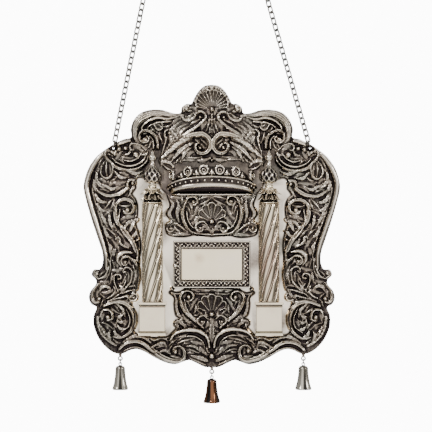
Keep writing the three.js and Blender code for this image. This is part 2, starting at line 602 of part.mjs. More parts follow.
// The chain goes from one ring up to its peg, across to the other peg and down again
function chain() {
  const left = ringAt(-1);
  const right = ringAt(1);
  const towards = (from, to) => from.clone().addScaledVector(to.clone().sub(from).normalize(), PEGS.corner);
  const leftBend = [towards(left.peg, left.chainEnd), left.peg, towards(left.peg, right.peg)];
  const rightBend = [towards(right.peg, left.peg), right.peg, towards(right.peg, right.chainEnd)];
  const route = new THREE.CurvePath();
  route.add(new THREE.LineCurve3(left.chainEnd, leftBend[0]));
  route.add(new THREE.QuadraticBezierCurve3(...leftBend));
  route.add(new THREE.LineCurve3(leftBend[2], rightBend[0]));
  route.add(new THREE.QuadraticBezierCurve3(...rightBend));
  route.add(new THREE.LineCurve3(rightBend[2], right.chainEnd));
  const count = 2 * Math.round(route.getLength() / LINK.pitch / 2);
  const joints = Array.from({ length: count + 1 }, (_, i) => route.getPointAt(i / count));
  const tilt = (i) => (i % 2 ? Math.PI / 4 : -Math.PI / 4);
  return union(joints.slice(1).map((joint, i) => chainLink(joints[i], joint, tilt(i))));
}

// A bell hangs from its eyelet by one link through the loop on its crown
function bellHang({ eye }) {
  const linkTop = eye + EYELET.radius - EYELET.wire - BELL_LINK.wire - LINK_GAP;
  const linkBottom = linkTop + 2 * BELL_LINK.radius;
  const loopCentre = linkBottom - 2 * BELL_LINK.wire - LINK_GAP + BELL.loop;
  return { linkTop, linkBottom, loopCentre, bellTop: loopCentre + BELL.loop };
}

function bellLink(bell) {
  const { linkTop } = bellHang(bell);
  const ring = standingRing(BELL_LINK.radius, BELL_LINK.wire, FACETS.eyelet);
  return solidOf(ring.translate(bell.x, -MID_DEPTH, -(linkTop + BELL_LINK.radius)));
}

const BELL_PROFILE = [
  [0.26, 0.004], [0.52, 0.06], [0.62, 0.17], [0.7, 0.42], [0.9, 0.86], [1, 1],
];

function bell(hung) {
  const { wall, radius, height } = BELL;
  const { loopCentre, bellTop } = bellHang(hung);
  const outer = BELL_PROFILE.map(([r, h]) => new THREE.Vector2(r * radius, -h * height));
  const inner = BELL_PROFILE.slice(1).map(
    ([r, h]) => new THREE.Vector2(r * radius - wall, -Math.max(h * height, wall * 1.6)),
  );
  const tip = new THREE.Vector2(0, 0);
  const cavityTop = new THREE.Vector2(0, -wall * 1.5);
  const profile = [cavityTop, ...inner, ...outer.reverse(), tip];
  const cup = solidOf(new THREE.LatheGeometry(profile, TURNED_FACETS.bell).rotateX(Math.PI / 2));
  const loop = facingRing(BELL.loop, BELL_LINK.wire, FACETS.eyelet).translate(0, 0, bellTop - loopCentre);
  return cup.add(solidOf(loop)).translate([hung.x, -MID_DEPTH, -bellTop]);
}

// Finishes
const silver = (color, roughness) => new THREE.MeshStandardMaterial({ color, roughness, metalness: 1 });
const oxidised = silver(0x8a8480, 0.34);
const polished = silver(0xd8d2c6, 0.2);
const chainSilver = silver(0xb4b2ae, 0.28);
const worn = silver(0x8a5a38, 0.3);

const shield = new THREE.Group();
function add(name, solid, material) {
  const mesh = new THREE.Mesh(geometryOf(solid), material);
  mesh.name = name;
  shield.add(mesh);
}

add("shield_plate", shieldPlate(), oxidised);
add("crown", crown(), oxidised);
add("name_holder", nameHolder(), oxidised);
add("name_plate", namePlate(), polished);
for (const [side, label] of [
  [-1, "left"],
  [1, "right"],
]) {
  const x = columnPlace(side);
  add(`column_${label}`, columnShaft(x), polished);
  add(`capital_${label}`, capital(x), polished);
  add(`finial_${label}`, finial(x), oxidised);
  add(`pedestal_${label}`, pedestal(x), polished);
  add(`chain_ring_${label}`, chainRing(side), chainSilver);
}
add("chain", chain(), chainSilver);
for (const hung of bellPlaces) {
  add(`bell_link_${hung.name}`, bellLink(hung), chainSilver);
  add(`bell_${hung.name}`, bell(hung), hung.name === "centre" ? worn : polished);
}

export default shield;
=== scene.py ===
# %% [markdown]
# # A chased silver Torah shield
# The shield hangs by a chain. Its plate is one sheet of silver that was hammered out from behind and chased
# from the front, and a crown, two columns, a name holder and three bells are fitted to it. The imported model
# gives the sizes, so every piece below is made in the same frame, in metres, with the front facing -Y.

import math

import bmesh
import bpy
import numpy as np
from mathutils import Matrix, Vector


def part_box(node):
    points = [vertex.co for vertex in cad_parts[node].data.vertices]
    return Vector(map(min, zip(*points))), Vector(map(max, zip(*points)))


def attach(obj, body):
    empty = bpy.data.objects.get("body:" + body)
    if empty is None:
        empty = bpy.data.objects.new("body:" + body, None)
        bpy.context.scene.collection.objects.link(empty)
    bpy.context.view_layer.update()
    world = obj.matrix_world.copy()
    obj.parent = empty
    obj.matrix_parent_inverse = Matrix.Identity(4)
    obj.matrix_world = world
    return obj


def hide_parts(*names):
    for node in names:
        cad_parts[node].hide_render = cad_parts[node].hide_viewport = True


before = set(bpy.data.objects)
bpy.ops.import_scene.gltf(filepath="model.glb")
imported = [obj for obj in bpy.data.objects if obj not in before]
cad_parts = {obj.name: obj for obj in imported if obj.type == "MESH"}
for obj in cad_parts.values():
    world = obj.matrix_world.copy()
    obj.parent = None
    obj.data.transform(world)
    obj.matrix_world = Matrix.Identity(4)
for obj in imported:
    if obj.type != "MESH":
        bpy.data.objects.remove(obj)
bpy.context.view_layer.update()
MM = 0.001

# %% [markdown]
# ## The camera
# The photograph looks straight at the shield, and one pixel of it is one millimetre of the plate. So the
# camera stands level with the middle of the picture, and its lens takes in 432 mm at the plate's face.

# %% Stand the camera straight in front
PICTURE = {"pixels": 432, "centre_px": (216.0, 216.0), "middle_line_px": 211.8, "row_above": 10.0}
CAMERA_AWAY = 1.5
SENSOR_WIDTH = 36.0
PLATE_FACE_Y = -0.0024


def photo_place(pixel_x, pixel_y):
    """A place on the plate's face under a pixel of the photograph, as (x, z)."""
    x = (pixel_x - PICTURE["middle_line_px"]) * MM
    z = -(pixel_y + PICTURE["row_above"]) * MM
    return x, z


camera_data = bpy.data.cameras.new("front_camera")
camera_data.sensor_width = SENSOR_WIDTH
camera_data.lens = SENSOR_WIDTH * CAMERA_AWAY / (PICTURE["pixels"] * MM)
camera = bpy.data.objects.new("front_camera", camera_data)
aim_x, aim_z = photo_place(*PICTURE["centre_px"])
camera.location = (aim_x, PLATE_FACE_Y - CAMERA_AWAY, aim_z)
camera.rotation_euler = (math.radians(90), 0, 0)
bpy.context.scene.collection.objects.link(camera)
bpy.context.scene.camera = camera
print("lens", round(camera_data.lens, 1), "mm")

# %% [markdown]
# ## Soft light
# Polished silver shows whatever stands round it. A wide bright field behind the camera makes the flat panels
# pale, darker sides give the hammered slopes their depth, and four soft boxes put the bright edges on them.
# To the camera itself the surroundings are plain white.

# %% Surround the shield with a soft studio
WARM_WHITE = (1.0, 0.965, 0.91)
FIELD = [(0.0, 0.30), (0.48, 0.15), (0.62, 0.06), (0.84, 0.16), (0.955, 0.92), (1.0, 1.0)]
FIELD_STRENGTH = 1.75
TOP_GLOW = 0.42
BACKDROP_WHITE = 12.0

world = bpy.data.worlds.new("soft_studio")
world.use_nodes = True
bpy.context.scene.world = world
sky = world.node_tree
sky.nodes.clear()


def node(tree, kind, **settings):
    """Adds a node and sets its properties, or its inputs where the name is one of them."""
    made = tree.nodes.new(kind)
    for name, value in settings.items():
        label = name.replace("_", " ")
        found = [s for s in made.inputs if s.name.lower() == label.lower()]
        if found and not hasattr(made, name):
            found[0].default_value = value
        else:
            setattr(made, name, value)
    return made


def ramp(tree, stops, source):
    """A colour ramp through grey values or colours, fed by a socket."""
    made = tree.nodes.new("ShaderNodeValToRGB")
    elements = made.color_ramp.elements
    while len(elements) < len(stops):
        elements.new(0.5)
    for element, (position, value) in zip(elements, stops):
        element.position = position
        element.color = (*value, 1) if isinstance(value, tuple) else (value, value, value, 1)
    tree.links.new(source, made.inputs[0])
    return made.outputs[0]


def maths(tree, operation, *values, clamp=False):
    """One step of arithmetic on sockets and numbers."""
    made = tree.nodes.new("ShaderNodeMath")
    made.operation = operation
    made.use_clamp = clamp
    for socket, value in zip(made.inputs, values):
        if isinstance(value, (int, float)):
            socket.default_value = value
        else:
            tree.links.new(value, socket)
    return made.outputs[0]


direction = node(sky, "ShaderNodeTexCoord")
axes = node(sky, "ShaderNodeSeparateXYZ")
sky.links.new(direction.outputs["Generated"], axes.inputs[0])
frontness = maths(sky, "MULTIPLY_ADD", axes.outputs["Y"], -0.5, 0.5)
field = ramp(sky, FIELD, frontness)
upness = maths(sky, "MULTIPLY", maths(sky, "MAXIMUM", axes.outputs["Z"], 0.0), TOP_GLOW)
brightness = maths(sky, "ADD", field, upness)
tinted = node(sky, "ShaderNodeVectorMath", operation="SCALE")
tinted.inputs[0].default_value = WARM_WHITE
sky.links.new(brightness, tinted.inputs["Scale"])
studio = node(sky, "ShaderNodeBackground", Strength=FIELD_STRENGTH)
sky.links.new(tinted.outputs[0], studio.inputs["Color"])
backdrop = node(sky, "ShaderNodeBackground", Color=(1, 1, 1, 1), Strength=BACKDROP_WHITE)
seen = node(sky, "ShaderNodeLightPath")
choose = node(sky, "ShaderNodeMixShader")
sky.links.new(seen.outputs["Is Camera Ray"], choose.inputs[0])
sky.links.new(studio.outputs[0], choose.inputs[1])
sky.links.new(backdrop.outputs[0], choose.inputs[2])
sky_out = node(sky, "ShaderNodeOutputWorld")
sky.links.new(choose.outputs[0], sky_out.inputs["Surface"])

# %% Hang four soft boxes and lay a pale floor
SOFT_BOXES = [
    ("key", (-0.9, -1.2, 0.8), 0.6, 22.0),
    ("fill", (1.25, -1.0, 0.15), 0.5, 8.0),
    ("under", (0.1, -0.9, -1.05), 0.6, 4.0),
    ("behind", (0.5, 1.4, 0.6), 1.0, 14.0),
]
SHIELD_MIDDLE = Vector((0, 0, -0.23))
FLOOR_Z = -1.0
FLOOR_RADIUS = 2.6

for name, place, size, watts in SOFT_BOXES:
    lamp_data = bpy.data.lights.new(name + "_box", "AREA")
    lamp_data.shape = "DISK"
    lamp_data.size = size
    lamp_data.energy = watts
    lamp_data.color = WARM_WHITE
    lamp = bpy.data.objects.new(name + "_box", lamp_data)
    lamp.location = place
    lamp.rotation_euler = (SHIELD_MIDDLE - Vector(place)).to_track_quat("-Z", "Y").to_euler()
    bpy.context.scene.collection.objects.link(lamp)

floor_mesh = bpy.data.meshes.new("floor")
floor_build = bmesh.new()
bmesh.ops.create_circle(floor_build, cap_ends=True, segments=96, radius=FLOOR_RADIUS)
floor_build.to_mesh(floor_mesh)
floor_build.free()
floor = bpy.data.objects.new("floor", floor_mesh)
floor.location = (0, 0, FLOOR_Z)
bpy.context.scene.collection.objects.link(floor)

floor_material = bpy.data.materials.new("pale_floor")
floor_material.use_nodes = True
floor_tree = floor_material.node_tree
floor_tree.nodes.clear()
floor_coat = node(floor_tree, "ShaderNodeBsdfPrincipled", Roughness=0.8)
floor_grain = node(floor_tree, "ShaderNodeTexNoise", Scale=9.0, Detail=4.0)
floor_tree.links.new(
    ramp(floor_tree, [(0.3, (0.86, 0.86, 0.85)), (0.7, (0.9, 0.9, 0.89))], floor_grain.outputs[0]),
    floor_coat.inputs["Base Color"],
)
floor_where = node(floor_tree, "ShaderNodeTexCoord")
floor_far = node(floor_tree, "ShaderNodeVectorMath", operation="LENGTH")
floor_tree.links.new(floor_where.outputs["Object"], floor_far.inputs[0])
floor_share = maths(floor_tree, "DIVIDE", floor_far.outputs["Value"], FLOOR_RADIUS)
floor_fade = ramp(floor_tree, [(0.3, 0.0), (0.95, 1.0)], floor_share)
floor_clear = node(floor_tree, "ShaderNodeBsdfTransparent")
floor_mix = node(floor_tree, "ShaderNodeMixShader")
floor_tree.links.new(floor_fade, floor_mix.inputs[0])
floor_tree.links.new(floor_coat.outputs[0], floor_mix.inputs[1])
floor_tree.links.new(floor_clear.outputs[0], floor_mix.inputs[2])
floor_end = node(floor_tree, "ShaderNodeOutputMaterial")
floor_tree.links.new(floor_mix.outputs[0], floor_end.inputs["Surface"])
floor_mesh.materials.append(floor_material)
print("soft boxes", len(SOFT_BOXES))

# %% [markdown]
# ## Silver, its tarnish and painted shade
# Old silver is bright where hands and cloths reach it and dark brown-grey in the hollows. The meshes below
# carry a value named hollow, 0 on a ridge and 1 in a deep hollow, and one node group turns it into
# colour, roughness and a height for the bump. Besides the tarnish, the value carries painted shade: painted
# shadows round the fitted pieces and along the plain panel's edge, shade painted darker towards the plate's
# foot, a dark sheet under the crown, dark bands under the capitals' leaves, on the column lobes' flanks and
# in the finials' piercing, and painted dark reflections down the bells. A second group makes the fine
# scratches of polishing. Both are shader node groups, because every silver finish here uses them.

# %% Build the tarnish and shade group
def new_group(name, inputs, outputs):
    """A shader node group with named sockets, given as (name, kind, default)."""
    group = bpy.data.node_groups.new(name, "ShaderNodeTree")
    for label, kind, default in inputs:
        made = group.interface.new_socket(name=label, in_out="INPUT", socket_type=kind)
        made.default_value = default
    for label, kind in outputs:
        group.interface.new_socket(name=label, in_out="OUTPUT", socket_type=kind)
    enter = group.nodes.new("NodeGroupInput")
    leave = group.nodes.new("NodeGroupOutput")
    return group, enter, leave


def mix_colour(tree, share, first, second):
    """Mixes two colours, each a socket or a plain colour."""
    made = tree.nodes.new("ShaderNodeMix")
    made.data_type = "RGBA"
    for socket, value in ((made.inputs[0], share), (made.inputs[6], first), (made.inputs[7], second)):
        if isinstance(value, (int, float)):
            socket.default_value = value
        elif isinstance(value, tuple):
            socket.default_value = (*value, 1)
        else:
            tree.links.new(value, socket)
    return made.outputs[2]


def noise(tree, scale, detail=3.0, stretch=None):
    """Noise over the piece's own place, in cycles a metre."""
    where = node(tree, "ShaderNodeTexCoord").outputs["Object"]
    if stretch:
        mapping = node(tree, "ShaderNodeMapping")
        mapping.inputs["Scale"].default_value = stretch
        tree.links.new(where, mapping.inputs["Vector"])
        where = mapping.outputs[0]
    made = node(tree, "ShaderNodeTexNoise", Scale=scale, Detail=detail)
    tree.links.new(where, made.inputs["Vector"])
    return made.outputs["Fac"] if "Fac" in made.outputs else made.outputs[0]


COLOUR, NUMBER = "NodeSocketColor", "NodeSocketFloat"
# The group's input carries the tarnish of the hollows and the painted shade alike, and turns both into
# colour.
tarnish, t_in, t_out = new_group(
    "tarnish",
    [("Hollow", NUMBER, 0.0), ("Amount", NUMBER, 1.0), ("Bright", COLOUR, (0.86, 0.83, 0.79, 1)),
     ("Middle", COLOUR, (0.45, 0.42, 0.39, 1)), ("Dark", COLOUR, (0.05, 0.042, 0.042, 1))],
    [("Colour", COLOUR), ("Roughness", NUMBER), ("Height", NUMBER)],
)
blotches = ramp(tarnish, [(0.3, 0.0), (0.7, 1.0)], noise(tarnish, 60.0, 4.0))
specks = noise(tarnish, 620.0, 3.0)
uneven = maths(tarnish, "MULTIPLY_ADD", blotches, 0.14, maths(tarnish, "MULTIPLY_ADD", specks, 0.45, 0.65))
gathered = maths(tarnish, "MULTIPLY", uneven, t_in.outputs["Hollow"])
filmed = maths(tarnish, "MULTIPLY_ADD", blotches, 0.05, gathered)
depth = maths(tarnish, "MULTIPLY", filmed, t_in.outputs["Amount"], clamp=True)
to_middle = ramp(tarnish, [(0.02, 0.0), (0.32, 1.0)], depth)
to_dark = ramp(tarnish, [(0.36, 0.0), (0.86, 1.0)], depth)
casts = ramp(
    tarnish,
    [(0.34, (0.93, 1.0, 0.99)), (0.46, (1.0, 1.0, 1.0)), (0.56, (1.03, 1.0, 0.94)),
     (0.66, (1.0, 0.95, 0.97))],
    noise(tarnish, 34.0, 2.0),
)
tinted_film = node(tarnish, "ShaderNodeVectorMath", operation="MULTIPLY")
tarnish.links.new(t_in.outputs["Middle"], tinted_film.inputs[0])
tarnish.links.new(casts, tinted_film.inputs[1])
half_way = mix_colour(tarnish, to_middle, t_in.outputs["Bright"], tinted_film.outputs[0])
tarnished = mix_colour(tarnish, to_dark, half_way, t_in.outputs["Dark"])
tarnish.links.new(tarnished, t_out.inputs["Colour"])
tarnish.links.new(maths(tarnish, "MULTIPLY_ADD", depth, 0.14, 0.08), t_out.inputs["Roughness"])
tarnish.links.new(maths(tarnish, "MULTIPLY", specks, depth), t_out.inputs["Height"])
print("tarnish group", len(tarnish.nodes), "nodes")

# %% Build the scratch group
scratches, s_in, s_out = new_group(
    "polish_scratches",
    [("Strength", NUMBER, 1.0)],
    [("Height", NUMBER), ("Mask", NUMBER)],
)
fine_lines = noise(scratches, 900.0, 2.0, stretch=(1.0, 1.0, 0.12))
cross_lines = noise(scratches, 700.0, 2.0, stretch=(0.15, 1.0, 1.0))
both_ways = maths(scratches, "ADD", fine_lines, cross_lines)
scratch_height = maths(scratches, "MULTIPLY", both_ways, s_in.outputs["Strength"])
scratches.links.new(scratch_height, s_out.inputs["Height"])
scratches.links.new(ramp(scratches, [(0.45, 0.0), (0.62, 1.0)], fine_lines), s_out.inputs["Mask"])
print("scratch group", len(scratches.nodes), "nodes")

# %% Mix the silver finishes
def silver(name, bright, middle, dark, amount=1.0, bump=0.00006, stain=None, metal=1.0):
    """A silver finish: the mesh's hollow value drives the tarnish and the painted shade, and scratches break
    up the polish.
    """
    material = bpy.data.materials.new(name)
    material.use_nodes = True
    tree = material.node_tree
    tree.nodes.clear()
    hollow = node(tree, "ShaderNodeAttribute", attribute_name="hollow").outputs["Fac"]
    patina = tree.nodes.new("ShaderNodeGroup")
    patina.node_tree = tarnish
    tree.links.new(hollow, patina.inputs["Hollow"])
    patina.inputs["Amount"].default_value = amount
    for label, value in (("Bright", bright), ("Middle", middle), ("Dark", dark)):
        patina.inputs[label].default_value = (*value, 1)
    polish = tree.nodes.new("ShaderNodeGroup")
    polish.node_tree = scratches
    colour = patina.outputs["Colour"]
    if stain:
        colour = stain(tree, colour)
    coat = node(tree, "ShaderNodeBsdfPrincipled", Metallic=metal)
    tree.links.new(colour, coat.inputs["Base Color"])
    tree.links.new(
        maths(tree, "MULTIPLY_ADD", polish.outputs["Mask"], 0.05, patina.outputs["Roughness"]),
        coat.inputs["Roughness"],
    )
    height = maths(tree, "MULTIPLY_ADD", polish.outputs["Height"], 0.25, patina.outputs["Height"])
    relief = node(tree, "ShaderNodeBump", Strength=0.5, Distance=bump)
    tree.links.new(height, relief.inputs["Height"])
    tree.links.new(relief.outputs[0], coat.inputs["Normal"])
    end = node(tree, "ShaderNodeOutputMaterial")
    tree.links.new(coat.outputs[0], end.inputs["Surface"])
    return material


def place_mask(tree, centre, radius, wobble):
    """1 round a place on the piece and 0 away from it, with a ragged edge."""
    where = node(tree, "ShaderNodeTexCoord").outputs["Object"]
    away = node(tree, "ShaderNodeVectorMath", operation="DISTANCE")
    away.inputs[1].default_value = centre
    tree.links.new(where, away.inputs[0])
    ragged = maths(tree, "MULTIPLY_ADD", noise(tree, 90.0, 4.0), wobble, away.outputs["Value"])
    share = maths(tree, "DIVIDE", ragged, radius, clamp=True)
    return ramp(tree, [(0.35, 1.0), (1.0, 0.0)], share)


STAIN_PX = (199, 258)
PINK_PX = (232, 262)
COPPER_PX = (269, 262)
PLATE_STAIN_Y, COLUMN_STAIN_Y = -0.005, -0.015


def brown_stain(tree, colour):
    """The faint brown water stain on the name plate, with a pink cast beside it."""
    stain_x, stain_z = photo_place(*STAIN_PX)
    spot = place_mask(tree, (stain_x, PLATE_STAIN_Y, stain_z), 0.011, 0.008)
    spread = maths(tree, "MULTIPLY", spot, 0.55)
    pink_x, pink_z = photo_place(*PINK_PX)
    cast = maths(tree, "MULTIPLY", place_mask(tree, (pink_x, PLATE_STAIN_Y, pink_z), 0.026, 0.02), 0.3)
    stained = mix_colour(tree, spread, colour, (0.50, 0.38, 0.26))
    return mix_colour(tree, cast, stained, (0.86, 0.76, 0.74))


def copper_cast(tree, colour):
    """A rose-brown cast low on the right-hand column, where the silver is thin."""
    low_x, low_z = photo_place(*COPPER_PX)
    cast = maths(tree, "MULTIPLY", place_mask(tree, (low_x, COLUMN_STAIN_Y, low_z), 0.075, 0.05), 0.62)
    return mix_colour(tree, cast, colour, (0.40, 0.27, 0.22))


chased = silver("chased_silver", (0.96, 0.885, 0.775), (0.20, 0.176, 0.155), (0.016, 0.012, 0.013))
plain = silver("plain_silver", (0.98, 0.87, 0.66), (0.5, 0.43, 0.34), (0.07, 0.058, 0.05), stain=brown_stain)
column_silver = silver(
    "column_silver", (0.95, 0.85, 0.66), (0.34, 0.29, 0.23), (0.04, 0.034, 0.03), stain=copper_cast,
)
chain_silver = silver(
    "chain_silver", (0.34, 0.34, 0.33), (0.13, 0.13, 0.125), (0.015, 0.015, 0.015), metal=0.3,
)
bell_silver = silver("bell_silver", (0.62, 0.60, 0.54), (0.11, 0.105, 0.09), (0.02, 0.019, 0.017), metal=0.8)
worn_copper = silver("worn_copper", (0.24, 0.10, 0.045), (0.05, 0.038, 0.034), (0.03, 0.026, 0.026))
print("finishes", len(bpy.data.materials))

# %% [markdown]
# ## Meshes from arrays
# Most of these pieces are swept or turned forms. They are worked out as rows of points with numpy, and one
# function turns rows into a mesh, sets its hollow value, gives it a finish and lets it ride on the frame.

# %% Turn rows of points into pieces
ROOT = "root"


def mesh_object(name, points, faces, material, hollow=None):
    """A mesh object from points in millimetres."""
    mesh = bpy.data.meshes.new(name)
    mesh.from_pydata((np.asarray(points, float) * MM).tolist(), [], faces)
    mesh.update()
    attribute = mesh.attributes.new("hollow", "FLOAT", "POINT")
    values = np.zeros(len(mesh.vertices)) if hollow is None else np.asarray(hollow, float)
    attribute.data.foreach_set("value", values.astype(np.float32))
    mesh.materials.append(material)
    mesh.polygons.foreach_set("use_smooth", [True] * len(mesh.polygons))
    made = bpy.data.objects.new(name, mesh)
    bpy.context.scene.collection.objects.link(made)
    return made


def rows_faces(rows, count, close_round=True, close_rows=False, caps=(False, False)):
    """Quads between rows of points, round each row if it closes, with one face for each cap."""
    faces = []
    spans = rows if close_rows else rows - 1
    for i in range(spans):
        here = i * count
        there = ((i + 1) % rows) * count
        for j in range(count if close_round else count - 1):
            k = (j + 1) % count
            faces.append((here + j, here + k, there + k, there + j))
    if caps[0]:
        faces.append(tuple(reversed(range(count))))
    if caps[1]:
        faces.append(tuple((rows - 1) * count + j for j in range(count)))
    return faces


def border_loop(rows, cols):
    """The numbers of a sheet's points round its border, in order."""
    right = [r * cols + cols - 1 for r in range(1, rows)]
    far = [(rows - 1) * cols + c for c in range(cols - 2, -1, -1)]
    left = [r * cols for r in range(rows - 2, 0, -1)]
    return list(range(cols)) + right + far + left


def facing_out(made):
    """Turns every face outwards."""
    build = bmesh.new()
    build.from_mesh(made.data)
    bmesh.ops.recalc_face_normals(build, faces=build.faces[:])
    build.to_mesh(made.data)
    build.free()
    return made


class Parts:
    """Collects closed bodies that are soldered into one piece."""

    def __init__(self):
        self.points, self.faces, self.hollow = [], [], []

    def add(self, points, faces, hollow=0.0):
        """Adds a body; its faces count from its own first point."""
        start = sum(len(p) for p in self.points)
        points = np.asarray(points, float)
        self.points.append(points)
        self.faces += [tuple(start + i for i in face) for face in faces]
        self.hollow.append(np.broadcast_to(np.asarray(hollow, float), (len(points),)).copy())

    def piece(self, name, material, slot, *nodes):
        """Makes the piece that stands for these nodes of the frame."""
        made = mesh_object(name, np.concatenate(self.points), self.faces, material,
                           np.concatenate(self.hollow))
        return settle(facing_out(made), slot, *nodes)


def settle(made, slot, *nodes):
    """Lets a piece ride on the frame in place of its nodes."""
    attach(made, ROOT)
    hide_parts(*nodes)
    print(made.name, len(made.data.vertices), "points")
    return made


def sweep(path, across_size, deep_size, closed=False, sides=10, face=(0, -1, 0), hollow=0.0, body=None):
    """Runs a round or oval wire along points, its section square to the run. Adds it to a body of parts."""
    path = np.asarray(path, float)
    count = len(path)
    ahead = np.roll(path, -1, 0) - np.roll(path, 1, 0) if closed else np.gradient(path, axis=0)
    ahead /= np.linalg.norm(ahead, axis=1, keepdims=True)
    face = np.broadcast_to(np.asarray(face, float), ahead.shape)
    side = np.cross(ahead, face)
    side /= np.linalg.norm(side, axis=1, keepdims=True)
    up = np.cross(side, ahead)
    across_size = np.broadcast_to(across_size, (count,))
    deep_size = np.broadcast_to(deep_size, (count,))
    turns = np.arange(sides) * 2 * math.pi / sides
    rows = (path[:, None]
            + side[:, None] * (across_size[:, None] * np.cos(turns))[..., None]
            + up[:, None] * (deep_size[:, None] * np.sin(turns))[..., None])
    faces = rows_faces(count, sides, close_rows=closed, caps=(not closed, not closed))
    body.add(rows.reshape(-1, 3), faces, hollow)


def ring_points(radius, count, centre, first, second):
    """Points round a circle in the plane of two directions."""
    turns = np.arange(count) * 2 * math.pi / count
    first, second = np.asarray(first, float), np.asarray(second, float)
    around = np.cos(turns)[:, None] * first + np.sin(turns)[:, None] * second
    return np.asarray(centre, float) + radius * around


def dome(body, centre, radius, height, out=(0, -1, 0), sides=12, rings=4, hollow=(0.0, 0.7), lobes=0,
         lobe_depth=0.0):
    """A low dome, such as a bead, a jewel or the eye of a scroll, darker round its foot."""
    out = np.asarray(out, float) / np.linalg.norm(out)
    side = np.cross(out, (0.0, 0.0, 1.0))
    side /= np.linalg.norm(side)
    up = np.cross(side, out)
    turns = np.arange(sides) * 2 * math.pi / sides
    lobed = 1 + lobe_depth * np.cos(lobes * turns)
    rows, dark = [], []
    for i in range(rings + 1):
        lift = i / rings * math.pi / 2
        r = radius * math.cos(lift) * 0.98 + radius * 0.02
        h = height * math.sin(lift)
        ring = (np.cos(turns) * lobed)[:, None] * side * r + (np.sin(turns) * lobed)[:, None] * up * r
        rows.append(np.asarray(centre, float) + ring + out * h)
        dark += [hollow[1] + (hollow[0] - hollow[1]) * math.sin(lift)] * sides
    body.add(np.concatenate(rows), rows_faces(rings + 1, sides, caps=(True, True)), dark)


def smooth_line(points, per=8):
    """A smooth curve through points, the same kind of spline that the solids use."""
    p = np.asarray(points, float)
    if len(p) < 3:
        t = np.linspace(0, 1, per * 2)[:, None]
        return p[0] * (1 - t) + p[-1] * t
    ends = np.concatenate([p[:1], p, p[-1:]])
    t = np.arange(per)[:, None] / per
    spans = []
    for a, b, c, d in zip(ends, ends[1:], ends[2:], ends[3:]):
        v0, v1 = (c - a) / 2, (d - b) / 2
        spans.append((2 * b - 2 * c + v0 + v1) * t**3 + (-3 * b + 3 * c - 2 * v0 - v1) * t**2 + v0 * t + b)
    return np.concatenate([*spans, p[-1:]])


def evenly(line, spacing):
    """The same run with its points an even distance apart."""
    reach = np.concatenate([[0], np.cumsum(np.linalg.norm(np.diff(line, axis=0), axis=1))])
    count = max(4, int(reach[-1] / spacing))
    at = np.linspace(0, reach[-1], count + 1)
    return np.stack([np.interp(at, reach, line[:, k]) for k in range(line.shape[1])], 1)


# %% [markdown]
# ## The plate's drawing
# A chaser draws half of the pattern on paper, folds it and pricks it through, so both halves match. The
# drawing is kept here the same way: points are millimetres out from the centre line and down from the top
# of the chain. A stroke is a run of points, a curl (the eye's place, how far it winds in degrees, how much
# it shrinks), its half-width at the start, middle and end, its height, and its kind: a lobed leaf, a rolled
# scroll, a band with fine lines, a band combed into close ridges, or a smooth ridge.

# %% Draw the edge and the plain panel
OUTLINE = [
    (0, 94.5), (7, 95.6), (13, 100.5), (17.5, 107.5), (20.5, 113.4), (25, 113.5), (30, 117),
    (31.5, 122.6), (38, 123), (49, 119.8), (61, 119.5), (71, 122.5), (78, 129.5), (81.3, 139),
    (80.8, 147), (88, 149), (97, 153.2), (107, 159.5), (116, 167), (123.5, 178), (127.6, 190),
    (128.4, 199), (125.5, 212), (120, 231), (114, 249), (109.8, 262), (109.2, 272), (112, 279),
    (118, 279.5), (120.4, 285), (116, 290), (116.5, 295), (121.5, 301), (123.2, 308),
    (120.5, 314.4), (115.5, 317.6), (118.4, 326), (118, 337), (113, 349), (106, 357.5),
    (98, 363), (90, 364.2), (82, 360.6), (75, 359.4), (67, 362.2), (57, 368), (47, 372.6),
    (37, 374.6), (28.5, 372), (22.5, 370.4), (15, 373.6), (7, 377.3), (0, 377.5),
]
PLAIN_PANEL = [
    (0, 247), (16, 245), (28.5, 247.5), (43, 246), (46.5, 240.5), (45, 235.5), (38.5, 232), (46.3, 225),
    (42, 216.5), (44.2, 208), (46, 203), (50, 199), (54, 192), (66, 189), (71, 188), (74, 188.5), (77, 193),
    (75.5, 198), (78, 202), (79.5, 205), (76, 209), (73.5, 216), (73.5, 225), (75.5, 233), (73, 242),
    (70.8, 252), (71, 263), (73, 271), (73, 286), (75, 301), (78, 307), (83, 309.5), (80, 313.5),
    (77, 320), (76, 330), (78, 338), (76, 343), (66, 346.5), (46, 346), (40, 341.3), (36, 337),
    (38.6, 335), (36.6, 329.3), (31.5, 328), (36.6, 325.3), (38.6, 314), (38, 307.5), (43.3, 303),
    (41.3, 300.5), (34, 302), (23, 298), (0, 298),
]
print("outline points", len(OUTLINE), "and panel points", len(PLAIN_PANEL))

